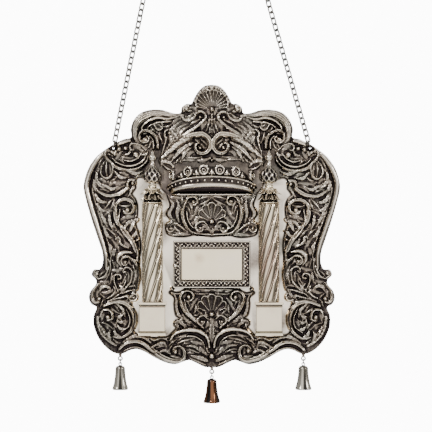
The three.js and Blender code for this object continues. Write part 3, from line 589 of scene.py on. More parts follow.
# %% Draw the strokes of the border
LEAF, ROLL, BAND, COMBED, SMOOTH = "leaf", "roll", "band", "combed", "smooth"
BORDER = [
    ([(100, 158.8), (109, 164.3), (117.3, 174), (123, 186.5), (125, 198), (121, 216), (115.2, 234),
      (109, 252), (105.6, 266), (105.4, 277)], ((113.6, 281.8), -250, 0.35), (2.6, 3.1, 1.2), 4.4, BAND),
    ([(103, 168), (111, 177), (117, 188), (119.4, 199), (116, 215), (110.4, 232), (104.6, 249),
      (101.4, 262), (101.6, 272), (104.6, 281), (110, 287.6), (116, 289.6)], None, (0.8, 1.2, 0.8), 2.6,
     SMOOTH),
    ([(112.4, 293.4), (118.2, 300.4), (119.8, 308)], ((114.6, 308.6), 230, 0.4), (1.6, 2.4, 1.2), 4, ROLL),
    ([(81.6, 150.6), (88.6, 152.6), (95, 155.6)], None, (1.5, 2.2, 1.6), 4, BAND),
    ([(92, 356.6), (84.6, 350), (76.4, 346), (68, 347.4), (61, 352.6)], None, (1, 2, 1), 4, LEAF),
    ([(92.6, 359.4), (85.8, 353.8), (77, 351.6), (68.6, 353.4), (59, 360), (48, 367.4), (37, 370.6)],
     ((34.5, 361.5), 320, 0.35), (1.6, 3.2, 1.5), 5.4, ROLL),
    ([(88, 361.4), (79, 357.4), (70, 358.6), (60, 364.6), (50, 369.4)], None, (0.7, 1.1, 0.7), 2.6, SMOOTH),
]
CREST = [
    ([(29, 126), (38.7, 125.4), (50.7, 123.6), (62, 124), (71, 128.4), (76.3, 136), (76.8, 146)],
     ((68, 145), 120, 0.7), (2, 4.6, 2.2), 5.8, COMBED),
    ([(34, 127), (44, 129), (54, 127.6), (63, 130.6), (69, 136), (70.4, 141)], None, (1, 2.0, 1.2), 5.6,
     SMOOTH),
    ([(40, 131.4), (50, 132), (58, 133.4), (64.4, 137.6)], None, (1, 1.6, 1), 4.4, SMOOTH),
    ([(57.4, 174), (54.4, 163), (54.2, 152), (57.6, 143.6), (65.6, 139.8)], ((66, 147.6), 330, 0.24),
     (1.2, 2.1, 1.3), 8.2, ROLL),
    ([(60.4, 168), (58.4, 158), (59, 149.6), (62.4, 145)], None, (0.8, 1.5, 0.8), 4.4, SMOOTH),
    ([(57.6, 133.6), (53.6, 139.4), (49.4, 137.4), (50, 132.8)], None, (1.2, 2.0, 0.9), 4.6, ROLL),
    ([(50.4, 166), (47.6, 156), (45.6, 147.6)], ((42.4, 143.2), -250, 0.5), (0.8, 1.5, 1.1), 4.2, ROLL),
    ([(51.6, 171.6), (40, 156), (28, 145.4), (16, 138), (8.6, 131.6)], ((11.6, 127), 230, 0.9),
     (1.3, 2.3, 1.5), 4.6, ROLL),
    ([(47, 163), (38, 150), (30, 141), (23, 136.6)], None, (1, 2.4, 0.7), 3.6, LEAF),
    ([(43, 156), (38, 145), (31.6, 137.4), (27, 135)], None, (1, 2.2, 0.7), 3.4, LEAF),
    ([(42, 151), (40.6, 142), (36.4, 135.6), (31, 131.4)], None, (1, 2.2, 0.7), 3.2, LEAF),
    ([(50, 168), (36.5, 155.4), (22, 146.6), (9.6, 144.6)], ((11.2, 156), -330, 0.3), (1.6, 3.6, 1.6),
     7.5, ROLL),
    ([(20, 149.6), (33.6, 154), (47, 168)], None, (1.2, 2.6, 0.8), 5.4, LEAF),
    ([(19, 153), (30, 159.4), (40.4, 170.6)], None, (1.2, 2.5, 0.8), 5, LEAF),
    ([(21, 158), (27, 164), (31.4, 172)], None, (1, 2.1, 0.7), 4.2, LEAF),
    ([(34, 149.6), (37.6, 143.4), (43, 142.4)], None, (1, 1.6, 0.8), 3, LEAF),
    ([(52.6, 176), (47.6, 171), (41, 172.6), (37.4, 177)], None, (1, 2, 0.8), 4, LEAF),
    ([(20.4, 121.4), (27, 121.6), (29.6, 118)], ((25.4, 119.4), -270, 0.4), (1, 1.7, 1), 4.8, ROLL),
    ([(31, 127), (26, 130.4), (19, 128.6), (16.4, 123.4)], None, (0.9, 1.8, 0.9), 3.8, LEAF),
]
SHOULDER = [
    ([(62.6, 165.6), (65.4, 172), (73, 178.2), (84, 180.6), (95.6, 177.6), (102.6, 171)],
     ((99.6, 163.4), -290, 0.35), (1.4, 2.1, 1.4), 6, ROLL),
    ([(65.4, 163), (68.6, 170), (76, 175), (85, 176.4), (94, 173.6), (99.4, 168.6)], None,
     (0.9, 1.7, 0.9), 4.8, SMOOTH),
    ([(70.4, 162.6), (74, 168), (82, 171.6), (90, 169.6)], None, (0.8, 1.5, 0.8), 4.2, SMOOTH),
    ([(88.6, 165.6), (83, 163.6), (81.6, 158.4)], None, (1, 1.8, 1), 4, ROLL),
    ([(66, 160), (71, 155.4), (77.4, 153.8)], ((79, 157.8), 240, 0.4), (0.9, 1.7, 1), 4, ROLL),
    ([(61, 159), (64.6, 163.4), (70, 165)], None, (0.9, 1.7, 0.8), 3.8, LEAF),
]
SIDE = [
    ([(101, 172), (99.2, 180), (101.8, 187), (107.4, 188.4), (111, 183.4), (109.8, 176)], None,
     (1, 1.7, 0.9), 4.2, ROLL),
    ([(115, 182.4), (114.6, 191.4), (108.4, 196.6), (100.4, 194.6)], None, (1.2, 2.1, 0.9), 4, LEAF),
    ([(117.4, 190), (116.8, 198), (110.6, 203.4), (104, 203)], None, (0.9, 1.7, 0.7), 3.4, LEAF),
    ([(97, 182), (91.6, 187.6), (84, 187.4)], None, (1, 2, 0.8), 4, LEAF),
    ([(85, 181.4), (77, 184), (69, 181.4)], None, (1, 1.8, 0.8), 3.8, LEAF),
    ([(113.6, 201), (105, 205.8), (93.4, 204.6), (84, 198.6)], ((79.4, 194.4), -250, 0.35),
     (1.6, 2.7, 1.4), 5, ROLL),
    ([(109, 194), (100, 199.4), (91.6, 195.6)], None, (1, 1.8, 0.8), 4, LEAF),
    ([(116.4, 203.6), (113, 210.4), (105.4, 212.4)], None, (1, 2.2, 0.8), 4.2, LEAF),
    ([(114.6, 213.6), (111, 219.6), (104, 220)], None, (1, 1.9, 0.8), 3.8, LEAF),
    ([(111.6, 222), (108, 229), (104.4, 236.6)], None, (1, 1.8, 0.8), 3.8, LEAF),
    ([(102.4, 224), (101.6, 232), (98.4, 239.6)], None, (1, 1.9, 0.8), 4.2, LEAF),
    ([(107.4, 236), (105.4, 243), (100.4, 248)], None, (1.1, 1.8, 0.8), 3.8, LEAF),
    ([(103.4, 252.6), (101.2, 256.4), (101.4, 260.6), (100.2, 264.6)], None, (1, 2, 0.9), 3.8, LEAF),
    ([(83.4, 257.4), (88.4, 255), (93, 251.4)], ((94.6, 248.8), 250, 0.4), (1.3, 2.1, 1.1), 4.4, ROLL),
    ([(73.6, 273), (75, 260), (80, 248.6), (88.6, 238.6), (95.4, 229), (96.6, 217)],
     ((85, 219.4), -310, 0.28), (1.8, 2.7, 1.7), 6, ROLL),
    ([(76.6, 262), (82, 250.6), (89.4, 241), (92.6, 230), (91.6, 219)], None, (0.8, 1.3, 0.8), 4.6, SMOOTH),
    ([(81.6, 241), (78.4, 234), (73.6, 229.6)], None, (1.2, 2.2, 1.2), 4.4, LEAF),
    ([(79, 247.4), (75.6, 243), (73, 241.6)], None, (1, 1.8, 1), 4, LEAF),
    ([(87.4, 239), (84, 233), (78.4, 230)], None, (1, 1.8, 0.8), 3.6, LEAF),
    ([(79, 262.6), (87, 261.6), (93.2, 264.8), (94.2, 270.4), (91, 275.4)], None, (1.2, 3.4, 1.4), 5,
     SMOOTH),
    ([(74.6, 299), (72.8, 284.6), (75.6, 272.6), (81.6, 267.4)], ((86.2, 271.6), 290, 0.3), (1.3, 2.1, 1.3),
     5.8, ROLL),
    ([(78.6, 294), (76.4, 284), (78.6, 275.6)], None, (0.8, 1.5, 0.8), 4.2, LEAF),
    ([(104.6, 312), (96.3, 306.6), (88.4, 300), (81.6, 292), (79.8, 283.6)], ((85.8, 281.4), 230, 0.34),
     (0.9, 1.6, 1.1), 5, ROLL),
    ([(100.6, 307.4), (93.6, 301), (87.4, 294), (85.6, 287.6)], None, (0.7, 1.2, 0.7), 3.8, SMOOTH),
    ([(93.4, 301.6), (96.8, 294.6), (98.4, 288.6)], ((93.6, 287.4), -250, 0.45), (0.9, 1.5, 1.1), 4.8, ROLL),
    ([(93, 293.6), (90, 297.4), (90.4, 301.4)], None, (0.9, 1.6, 0.8), 3.8, LEAF),
    ([(106.6, 309.4), (100.4, 305.8), (97, 300.8), (98.6, 296.4)], None, (0.9, 1.5, 0.9), 4.4, ROLL),
    ([(101.6, 298.8), (106.4, 296), (111.4, 298), (112.6, 302.4)], None, (1.2, 2.1, 1), 4.6, LEAF),
    ([(104.6, 312), (93.6, 308.4), (83.6, 305)], ((78, 305.6), 260, 0.5), (0.8, 1.5, 1.1), 4.6, ROLL),
    ([(102, 313), (91, 310.4), (82.6, 311.6), (79.6, 313.6)], None, (0.7, 1.4, 0.8), 4, SMOOTH),
    ([(90, 303.4), (83.6, 300.6), (77.6, 299.4)], None, (0.8, 1.5, 0.8), 3.8, SMOOTH),
    ([(103.4, 268.6), (101.4, 276), (102.6, 283), (106.4, 290)], None, (0.6, 1.0, 0.6), 2.6, SMOOTH),
    ([(99.4, 270), (97.6, 277.6)], None, (0.6, 1.0, 0.6), 2.4, SMOOTH),
    ([(108, 316), (96.6, 312.4), (86, 313.8), (79, 321), (77.2, 331), (81, 341), (90, 347.6), (99, 347)],
     None, (1.8, 2.9, 1.4), 5.8, ROLL),
    ([(112, 327), (108.4, 320.6), (101.6, 320.4), (98.8, 326)], ((103, 327.4), -250, 0.45),
     (1.2, 2, 1.4), 5.2, ROLL),
    ([(114.4, 327), (112.6, 336), (107.6, 345), (100.6, 352.4), (95, 356)], None, (1.3, 2.3, 1), 4.8, LEAF),
    ([(95.6, 314.4), (88.8, 319), (86.4, 326.4)], None, (0.9, 1.7, 0.8), 5, LEAF),
    ([(84.8, 319.6), (81.6, 328), (83.4, 337), (91, 342.6)], None, (0.7, 1.3, 0.7), 4.4, SMOOTH),
    ([(91.4, 339.6), (95.2, 335), (94.4, 330)], ((91.8, 330.6), -200, 0.5), (0.8, 1.4, 0.9), 4.2, ROLL),
    ([(110, 336), (106.4, 343), (100.6, 347.4)], None, (0.8, 1.6, 0.7), 3.6, LEAF),
]
ROUND_LEAVES = [(95.6, 327, -35), (94.6, 331, -5), (94.6, 335, 25), (97.4, 338.6, 55), (101.4, 340.4, 85)]
ROUND_LEAF_LENGTH = 9.0
CENTRE = [
    ([(1.6, 244.6), (19.6, 242.4), (27.6, 232), (29.6, 220), (26, 210.6)], ((19, 211.6), -290, 0.35),
     (1.4, 2.3, 1.4), 5.4, ROLL),
    ([(6, 240), (18, 237.6), (23.8, 230), (25.4, 220.6)], None, (0.8, 1.2, 0.7), 3.8, SMOOTH),
    ([(24, 243), (33, 235.4), (40.4, 233)], ((40.6, 238.6), 260, 0.4), (1.1, 2, 1.2), 4.2, ROLL),
    ([(22, 245.4), (31, 243.6), (37.6, 245)], None, (0.9, 1.5, 0.7), 3, LEAF),
    ([(37, 234), (41, 229), (42.6, 222), (38.8, 215.6), (41, 209)], None, (1, 2.0, 0.9), 3.6, LEAF),
    ([(33, 232), (35, 224), (33.6, 216), (34.6, 209.6)], None, (0.9, 1.9, 0.8), 3.4, LEAF),
    ([(3.4, 237), (8, 231.4), (14, 232.4)], ((11.1, 237.4), 250, 0.4), (1, 1.6, 1), 4.2, ROLL),
    ([(8, 338), (17.8, 329.4), (26.6, 321.6), (31.4, 312)], ((23.4, 307.6), -290, 0.35), (1.5, 2.3, 1.6),
     5.4, ROLL),
    ([(12, 331), (20, 325.4), (26, 317), (27.4, 309.6)], None, (0.8, 1.2, 0.7), 3.8, SMOOTH),
    ([(22, 335), (31, 327.6), (35.4, 319), (36, 310.6), (38.6, 304), (41, 301.6)], None, (1, 1.6, 0.9),
     3.6, LEAF),
    ([(2.4, 357), (4.6, 347), (13.6, 340.4), (25.6, 339.4), (36.4, 342.8), (41.8, 350)], None,
     (1.5, 2.8, 1.5), 6.2, BAND),
    ([(7, 358), (10, 350.6), (18, 346), (27, 346), (34, 350)], None, (0.8, 1.3, 0.7), 3.2, SMOOTH),
    ([(26, 336.4), (32.6, 331), (38.0, 332)], None, (1.2, 2.2, 0.9), 3.6, LEAF),
    ([(20, 333), (25, 330), (29, 325)], None, (1, 1.7, 0.8), 3.4, LEAF),
    ([(3.4, 329.6), (8, 325.4), (12.6, 327.4)], ((9.8, 331.4), 250, 0.4), (1, 1.5, 1), 4.2, ROLL),
    ([(4.6, 370.4), (12, 367.4), (20, 365.6)], None, (1.6, 2.4, 1.1), 4, LEAF),
    ([(6, 374.6), (14, 371), (22, 367.6)], None, (0.8, 1.2, 0.7), 2.6, SMOOTH),
    ([(10, 362), (17, 356), (25, 355.6)], None, (0.9, 1.6, 0.8), 3.4, LEAF),
    ([(44, 350.4), (50, 347.6), (58, 350.4), (63, 346.6)], None, (0.9, 1.8, 0.8), 3.8, ROLL),
    ([(44.6, 358.6), (48, 352.6), (55, 354.6), (60, 357)], None, (0.9, 1.9, 0.8), 3.8, LEAF),
    ([(41, 364), (46, 360.4), (52, 361.6)], None, (0.9, 1.6, 0.8), 3.4, LEAF),
    ([(70, 351.4), (64, 355.6), (57.6, 362)], None, (0.8, 1.3, 0.7), 3.4, SMOOTH),
]
STROKES = BORDER + CREST + SHOULDER + SIDE + CENTRE
print("strokes", len(STROKES))

# %% Draw the shells, buds and bead rows
SHELLS = [
    {"down": 119.6, "radius": 22.0, "flutes": 6, "spread": 1.42, "crest": 4.2, "start": 0.14},
    {"down": 231.5, "radius": 20.4, "flutes": 2, "spread": 1.15, "crest": 3.8, "start": 0.14},
    {"down": 324, "radius": 21.4, "flutes": 2, "spread": 1.15, "crest": 3.8, "start": 0.14},
]
BUDS = [
    ((25.4, 119.4), 2.6, 5.6), ((67.2, 149), 2.5, 7.2), ((92.4, 159.6), 2.6, 4.4), ((86.4, 158.4), 2.4, 4.4),
    ((76.4, 164.6), 3.2, 5.4), ((99.6, 163), 2.4, 5.2), ((36, 361), 2.8, 5.8), ((84.2, 220), 2.8, 5.6),
    ((86.6, 271.6), 2.2, 5.4), ((93.6, 288.6), 1.7, 5.2), ((86, 281.4), 1.5, 3.4),
    ((103.8, 327.2), 2.6, 5.8), ((113, 308.8), 2.4, 4.8),
    ((114.8, 283.6), 2.4, 5), ((19, 211.4), 2.1, 5.2), ((23.4, 307), 2.4, 5.2), ((40.8, 238.6), 1.8, 4.2),
    ((11.2, 237.6), 1.7, 4.2), ((9.8, 331.6), 1.7, 4.2), ((79.2, 194), 2.2, 4.8), ((74.4, 250), 1.8, 4),
    ((42.4, 142.6), 1.9, 4.2), ((11.4, 158), 2.2, 6), ((12, 127.6), 1.8, 4.6), ((39.7, 298.4), 1.9, 3.6),
    ((0, 170), 2.1, 4.4), ((0, 119.6), 3.0, 6), ((0, 231.5), 2.8, 5), ((0, 324), 2.8, 5),
    ((0, 365.6), 3.4, 5.2),
]
BEAD_ROW = {"from": 124.6, "to": 145.6, "count": 8, "radius": (1.9, 1.1), "height": 3.6}
DROPS = [(0, 329.6, 352.6, 3.4, 3.8), (0, 178.4, 172.6, 2.2, 3.0)]
CREST_CURLS = {"from": 1.5, "to": 27.5, "pitch": 3.6, "inset": 2.4, "radius": 2.1, "height": 3.4}
print("shells", len(SHELLS), "and buds", len(BUDS))

# %% [markdown]
# ## Raising the relief
# The relief is a map of heights over the half drawing. Each stroke raises the ground under it to its own
# cross-section: a rolled scroll has a deep groove beside its rim, a leaf has a vein and slanting lobes, a
# band is broad with fine lines along it, and the crest's bands are combed into close ridges. A line sunk
# just outside each stroke parts it from what it lies on, as the chaser's lining tool does. Between the
# strokes, ridges echo their edges like the combed ground of the real work. A map like this is quick to work
# out with numpy, and it can't tangle as carved meshes can.

# %% Work out one stroke's heights
CELL = 0.42
HALF_WIDE, TOP_DOWN, FOOT_DOWN = 131.0, 92.0, 380.0
out_axis = np.arange(0, HALF_WIDE, CELL)
down_axis = np.arange(TOP_DOWN, FOOT_DOWN, CELL)
relief = np.zeros((len(down_axis), len(out_axis)))
echo = np.full_like(relief, 99.0)
GROUND = 2.4
SEAT = 2.7
ROUTE_STEP = 0.4
print("map cells", relief.size)


def volute(start, centre, sweep_deg, shrink):
    """Points that wind from a start about a centre, drawing in as they go."""
    arm = np.array(start, float) - np.array(centre, float)
    steps = max(4, int(abs(sweep_deg) / 18))
    share = (np.arange(steps) + 1) / steps
    turn = np.radians(sweep_deg) * share
    wound = np.stack([arm[0] * np.cos(turn) - arm[1] * np.sin(turn),
                      arm[0] * np.sin(turn) + arm[1] * np.cos(turn)], 1)
    return np.array(centre, float) + wound * (1 + (shrink - 1) * share)[:, None]


def route(line, curl):
    """A stroke's centre line, its points one even step apart."""
    path = smooth_line(line)
    if curl:
        path = np.concatenate([path, smooth_line(volute(line[-1], *curl))])
    return evenly(path, ROUTE_STEP)


def window(path, margin):
    """The part of the map that a stroke can reach."""
    low, high = path.min(0) - margin, path.max(0) + margin
    last_col = min(len(out_axis), int(high[0] / CELL) + 2)
    last_row = min(len(down_axis), int((high[1] - TOP_DOWN) / CELL) + 2)
    cols = slice(max(0, int(low[0] / CELL)), last_col)
    rows = slice(max(0, int((low[1] - TOP_DOWN) / CELL)), last_row)
    return rows, cols


def nearest_on(path, rows, cols):
    """For every cell of a window: the distance to a path, its sign, and the nearest point's number."""
    grid_out, grid_down = np.meshgrid(out_axis[cols], down_axis[rows])
    cells = np.stack([grid_out.ravel(), grid_down.ravel()], 1)
    found = np.empty(len(cells), int)
    for start in range(0, len(cells), 20000):
        part = cells[start:start + 20000]
        away = (part[:, 0, None] - path[None, :, 0]) ** 2 + (part[:, 1, None] - path[None, :, 1]) ** 2
        found[start:start + 20000] = away.argmin(1)
    gap = cells - path[found]
    ahead = np.gradient(path, axis=0)[found]
    side = np.sign(ahead[:, 0] * gap[:, 1] - ahead[:, 1] * gap[:, 0])
    shape = grid_out.shape
    return np.hypot(gap[:, 0], gap[:, 1]).reshape(shape), side.reshape(shape), found.reshape(shape)


def bell_curve(x, centre, width):
    """A soft bump round a centre."""
    return np.exp(-(((x - centre) / width) ** 2))


def section(kind, q, along_mm):
    """The height of a stroke's cross-section, as a share, at q from -1 to 1 across and so far along."""
    round_top = np.sqrt(np.clip(1 - q**2, 0, 1))
    if kind == ROLL:
        return round_top * (1 - 0.55 * bell_curve(q, 0.28, 0.2) - 0.22 * bell_curve(q, -0.5, 0.12))
    if kind == BAND:
        lines = 0.16 * bell_curve(q, 0.0, 0.1) + 0.2 * bell_curve(q, 0.45, 0.1)
        lines = lines + 0.12 * bell_curve(q, -0.45, 0.08)
        return round_top**0.7 * (1 - lines)
    if kind == COMBED:
        return round_top**0.8 * (0.66 + 0.34 * np.cos(2 * math.pi * 2.2 * q))
    if kind == LEAF:
        lobes = np.abs(np.sin(math.pi * (along_mm - 2.2 * np.abs(q)) / LOBE_PITCH)) ** 0.7
        return round_top * (0.56 + 0.44 * lobes * np.abs(q) ** 0.3) * (1 - 0.4 * bell_curve(q, 0, 0.15))
    return round_top


LINE_DEPTH = 1.3
LOBE_PITCH = 3.6
LEAF_SPREAD = 1.32


def lay_stroke(line, curl, half, crest, kind):
    """Raises one stroke on the map."""
    path = route(line, curl)
    share = np.linspace(0, 1, len(path))
    widths = np.interp(share, [0, 0.5, 1], half)
    heights = crest * np.minimum(1, (0.5 + widths / half[1]) / 1.4)
    if kind == LEAF:
        widths = widths * LEAF_SPREAD
    margin = widths.max() * 1.25 + 6
    rows, cols = window(path, margin)
    away, side, found = nearest_on(path, rows, cols)
    wide = widths[found]
    if kind == LEAF:
        wide = wide * (0.74 + 0.44 * np.abs(np.sin(math.pi * found * ROUTE_STEP / LOBE_PITCH)) ** 0.7)
    q = np.clip(side * away / wide, -1, 1)
    raised = heights[found] * section(kind, q, found * ROUTE_STEP)
    here = relief[rows, cols]
    lined = here - LINE_DEPTH * bell_curve(away, wide + 0.4, 0.6)
    lined = np.maximum(lined, np.minimum(here, -LINE_DEPTH))
    inside = away < wide
    relief[rows, cols] = np.where(inside, np.maximum(raised, np.minimum(here, raised + 1.2)), lined)
    echo[rows, cols] = np.minimum(echo[rows, cols], away - wide)


# %% Work out shells, buds and rows of beads
def lay_bud(centre, radius, height):
    """Raises a round bud with a sunk ring about it."""
    rows, cols = window(np.array([centre], float), radius + 3)
    grid_out, grid_down = np.meshgrid(out_axis[cols], down_axis[rows])
    away = np.hypot(grid_out - centre[0], grid_down - centre[1])
    here = relief[rows, cols]
    lined = here - 1.2 * bell_curve(away, radius + 0.4, 0.5)
    bulge = height * np.sqrt(np.clip(1 - (away / radius) ** 2, 0, 1)) ** 0.8
    relief[rows, cols] = np.where(away < radius, np.maximum(bulge, np.minimum(here, 1.0)), lined)
    echo[rows, cols] = np.minimum(echo[rows, cols], away - radius)


def lay_shell(down, radius, flutes, spread, crest, start):
    """Raises a shell: hollow flutes that fan out, with raised edges between and curled ends."""
    rows, cols = window(np.array([(0, down)], float), radius + 3)
    grid_out, grid_down = np.meshgrid(out_axis[cols], down_axis[rows])
    away = np.hypot(grid_out, down - grid_down)
    turn = np.arctan2(grid_out, down - grid_down)
    step = spread * 2 / (2 * flutes + 1)
    place = turn / step
    off = np.abs(place - np.round(place)) * 2
    reach = radius * (1 - 0.2 * (turn / spread) ** 2) * (0.84 + 0.16 * np.sqrt(np.clip(1 - off**2, 0, 1)))
    share = away / reach
    rib = crest * (0.45 + 0.55 * share) * (0.06 + 0.94 * off**3.2)
    lip = crest * 0.9 * bell_curve(share, 0.93, 0.06)
    lines = 0.25 * np.cos(place * 2 * math.pi * 4) * (1 - off)
    body = np.maximum(rib, lip) + lines
    inside = (share < 1) & (share > start) & (np.abs(turn) < spread + step / 2)
    here = relief[rows, cols]
    relief[rows, cols] = np.where(inside, np.maximum(body, 0.2), here)
    echo[rows, cols] = np.where(inside, 0, np.minimum(echo[rows, cols], np.abs(away - reach)))


for shell in SHELLS:
    lay_shell(**shell)
for stroke in STROKES:
    lay_stroke(*stroke)
for out, down, turn in ROUND_LEAVES:
    run = ROUND_LEAF_LENGTH * np.array([-math.cos(math.radians(turn)), math.sin(math.radians(turn))])
    bend = np.array([run[1], -run[0]]) * 0.22
    start = np.array([out, down])
    lay_stroke([start, start + run * 0.5 + bend, start + run], None, (0.7, 1.7, 0.9), 4.4, LEAF)
for out, top, foot, wide, tall in DROPS:
    lay_stroke([(out, top), (out, (top + foot) / 2), (out, foot)], None, (wide * 0.6, wide, 0.6), tall, LEAF)
for i in range(BEAD_ROW["count"]):
    share = i / (BEAD_ROW["count"] - 1)
    down = BEAD_ROW["from"] + (BEAD_ROW["to"] - BEAD_ROW["from"]) * share
    first, last = BEAD_ROW["radius"]
    lay_bud((0, down), first + (last - first) * share, BEAD_ROW["height"])
for bud in BUDS:
    lay_bud(*bud)
outline_half = evenly(smooth_line(OUTLINE), 0.5)
run_length = np.concatenate([[0], np.cumsum(np.linalg.norm(np.diff(outline_half, axis=0), axis=1))])
edge_normal = np.gradient(outline_half, axis=0)
edge_normal = np.stack([-edge_normal[:, 1], edge_normal[:, 0]], 1)
edge_normal /= np.linalg.norm(edge_normal, axis=1, keepdims=True)
for reach in np.arange(CREST_CURLS["from"], CREST_CURLS["to"], CREST_CURLS["pitch"]):
    k = int(np.searchsorted(run_length, reach))
    inward = outline_half[k] + edge_normal[k] * CREST_CURLS["inset"]
    lay_bud(tuple(np.maximum(inward, 0)), CREST_CURLS["radius"], CREST_CURLS["height"])
print("relief drawn to", round(float(relief.max()), 2), "mm")

# %% [markdown]
# ## The ground, the edge and the seats
# Outside the plain panel the ground is combed and dark. Inside it the sheet is flat and polished. The seats
# of the fitted pieces are flat too, and the sheet turns down to a thin lip all round its edge.

# %% Measure distances to closed lines
def signed_distance(loop, cells):
    """How far cells are inside a closed line, negative outside, with the nearest point on it."""
    ahead = np.roll(loop, -1, 0) - loop
    length2 = (ahead**2).sum(1)
    best = np.full(len(cells), 1e9)
    spot = np.zeros_like(cells)
    inside = np.zeros(len(cells), bool)
    for (px, py), (dx, dy), l2 in zip(loop, ahead, np.maximum(length2, 1e-9)):
        t = np.clip(((cells[:, 0] - px) * dx + (cells[:, 1] - py) * dy) / l2, 0, 1)
        near_x, near_y = px + t * dx, py + t * dy
        away = (cells[:, 0] - near_x) ** 2 + (cells[:, 1] - near_y) ** 2
        closer = away < best
        best = np.where(closer, away, best)
        spot[closer, 0] = near_x[closer]
        spot[closer, 1] = near_y[closer]
        if abs(dy) > 1e-12:
            crosses = ((cells[:, 1] >= py) != (cells[:, 1] >= py + dy)) & (
                cells[:, 0] < px + (cells[:, 1] - py) / dy * dx
            )
            inside ^= crosses
    away = np.sqrt(best)
    return np.where(inside, away, -away), spot


def mirrored(half_line):
    """A closed line from its right half."""
    half_line = np.asarray(half_line, float)
    left = half_line[1:-1][::-1] * np.array([-1, 1])
    return np.concatenate([half_line, left])


grid_out, grid_down = np.meshgrid(out_axis, down_axis)
all_cells = np.stack([grid_out.ravel(), grid_down.ravel()], 1)
plain_loop = mirrored(evenly(smooth_line(PLAIN_PANEL, 5), 1.6))
plain_in = signed_distance(plain_loop, all_cells)[0].reshape(relief.shape)
print("plain panel", round(float((plain_in > 0).sum() * CELL**2 * 2 / 100)), "square cm")

# %% Note the seats of the fitted pieces
COLUMN_PLACES = {"left": -59.2, "right": 57.0}
COLUMN_OUT = 58.1
SEATS = [
    (COLUMN_OUT, 263, 11.8, 50), (COLUMN_OUT, 204, 13.4, 10), (COLUMN_OUT, 184, 10.4, 7),
    (COLUMN_OUT, 184, 6.8, 11), (COLUMN_OUT, 168, 5.2, 8.4), (COLUMN_OUT, 328, 15.8, 17),
    (0, 274.3, 39.0, 24.0), (0, 193, 44.6, 12.0), (0, 181, 34.0, 8.0), (98.5, 154, 3.4, 6.2),
]
print("seats", len(SEATS))


def box_distance(out, down, half_wide, half_high):
    """How far cells are outside a rectangle, negative inside."""
    dx = np.abs(grid_out - out) - half_wide
    dy = np.abs(grid_down - down) - half_high
    return np.where((dx > 0) & (dy > 0), np.hypot(dx, dy), np.maximum(dx, dy))


# %% [markdown]
# ## Small strokes in the gaps
# The real ground is hardly ever bare: the chaser filled each gap with a leaf or a ridge that follows it. So
# the widest gap left on the map is found again and again, and a stroke is laid along it, as long as the gap
# lets it be. Every third one is a lobed leaf and the others are smooth ridges.

# %% Fill the gaps with small strokes
FILLER = {"count": 120, "least": 1.7, "widest": 2.6, "longest": 9.0}
edge_in = signed_distance(mirrored(evenly(smooth_line(OUTLINE), 1.2)), all_cells)[0].reshape(relief.shape)
gaps = np.minimum(np.minimum(echo, 6.0), np.minimum(-plain_in - 1.4, edge_in - 3.4))
gaps = np.minimum(gaps, grid_out)
for seat in SEATS:
    gaps = np.minimum(gaps, box_distance(*seat) - 0.3)


def gap_at(point):
    """The room left at a place, in millimetres."""
    col = min(max(int(round(point[0] / CELL)), 0), gaps.shape[1] - 1)
    row = min(max(int(round((point[1] - TOP_DOWN) / CELL)), 0), gaps.shape[0] - 1)
    return gaps[row, col]


filled = 0
for _ in range(FILLER["count"]):
    row, col = np.unravel_index(np.argmax(gaps), gaps.shape)
    room = gaps[row, col]
    if room < FILLER["least"]:
        break
    middle = np.array([out_axis[col], down_axis[row]])
    wide = min(room, FILLER["widest"])
    best = None
    for turn in np.arange(0, math.pi, math.pi / 12):
        ahead = np.array([math.cos(turn), math.sin(turn)])
        ends = []
        for way in (1, -1):
            reach = 0.5
            while reach < FILLER["longest"] and gap_at(middle + ahead * way * reach) > 0.35 * wide:
                reach += 0.5
            ends.append(reach)
        if best is None or sum(ends) > sum(best[1]):
            best = (ahead, ends)
    ahead, (far, back) = best
    if ahead[1] > 0:
        ahead, far, back = -ahead, back, far
    bend = np.array([-ahead[1], ahead[0]]) * 0.35 * wide * (1 if filled % 2 else -1)
    lay_stroke([middle - ahead * back, middle + bend, middle + ahead * far], None,
               (0.3 * wide, 0.66 * wide, 0.3 * wide), 1.0 + 0.5 * wide, LEAF if filled % 3 == 0 else SMOOTH)
    gaps = np.minimum(gaps, echo)
    gaps[max(0, row - 2):row + 3, max(0, col - 2):col + 3] = 0
    filled += 1
print("small strokes", filled, "and the relief is up to", round(float(relief.max()), 2), "mm high")

# %% Comb the ground and frame the plain panel
def soft_step(x, low, high):
    """0 below low, 1 above high, smooth between."""
    t = np.clip((x - low) / (high - low), 0, 1)
    return t * t * (3 - 2 * t)


random = np.random.default_rng(7)


def rough_map(spacing, shape):
    """Smooth random values from -1 to 1 on a map, features about spacing apart."""
    rows = int(shape[0] * CELL / spacing) + 3
    cols = int(shape[1] * CELL / spacing) + 3
    coarse = random.uniform(-1, 1, (rows, cols))
    at_row = np.arange(shape[0]) * CELL / spacing
    at_col = np.arange(shape[1]) * CELL / spacing
    r0, c0 = at_row.astype(int), at_col.astype(int)
    fr = (at_row - r0)[:, None]
    fc = (at_col - c0)[None, :]
    fr, fc = fr * fr * (3 - 2 * fr), fc * fc * (3 - 2 * fc)
    top = coarse[r0][:, c0] * (1 - fc) + coarse[r0][:, c0 + 1] * fc
    low = coarse[r0 + 1][:, c0] * (1 - fc) + coarse[r0 + 1][:, c0 + 1] * fc
    return top * (1 - fr) + low * fr


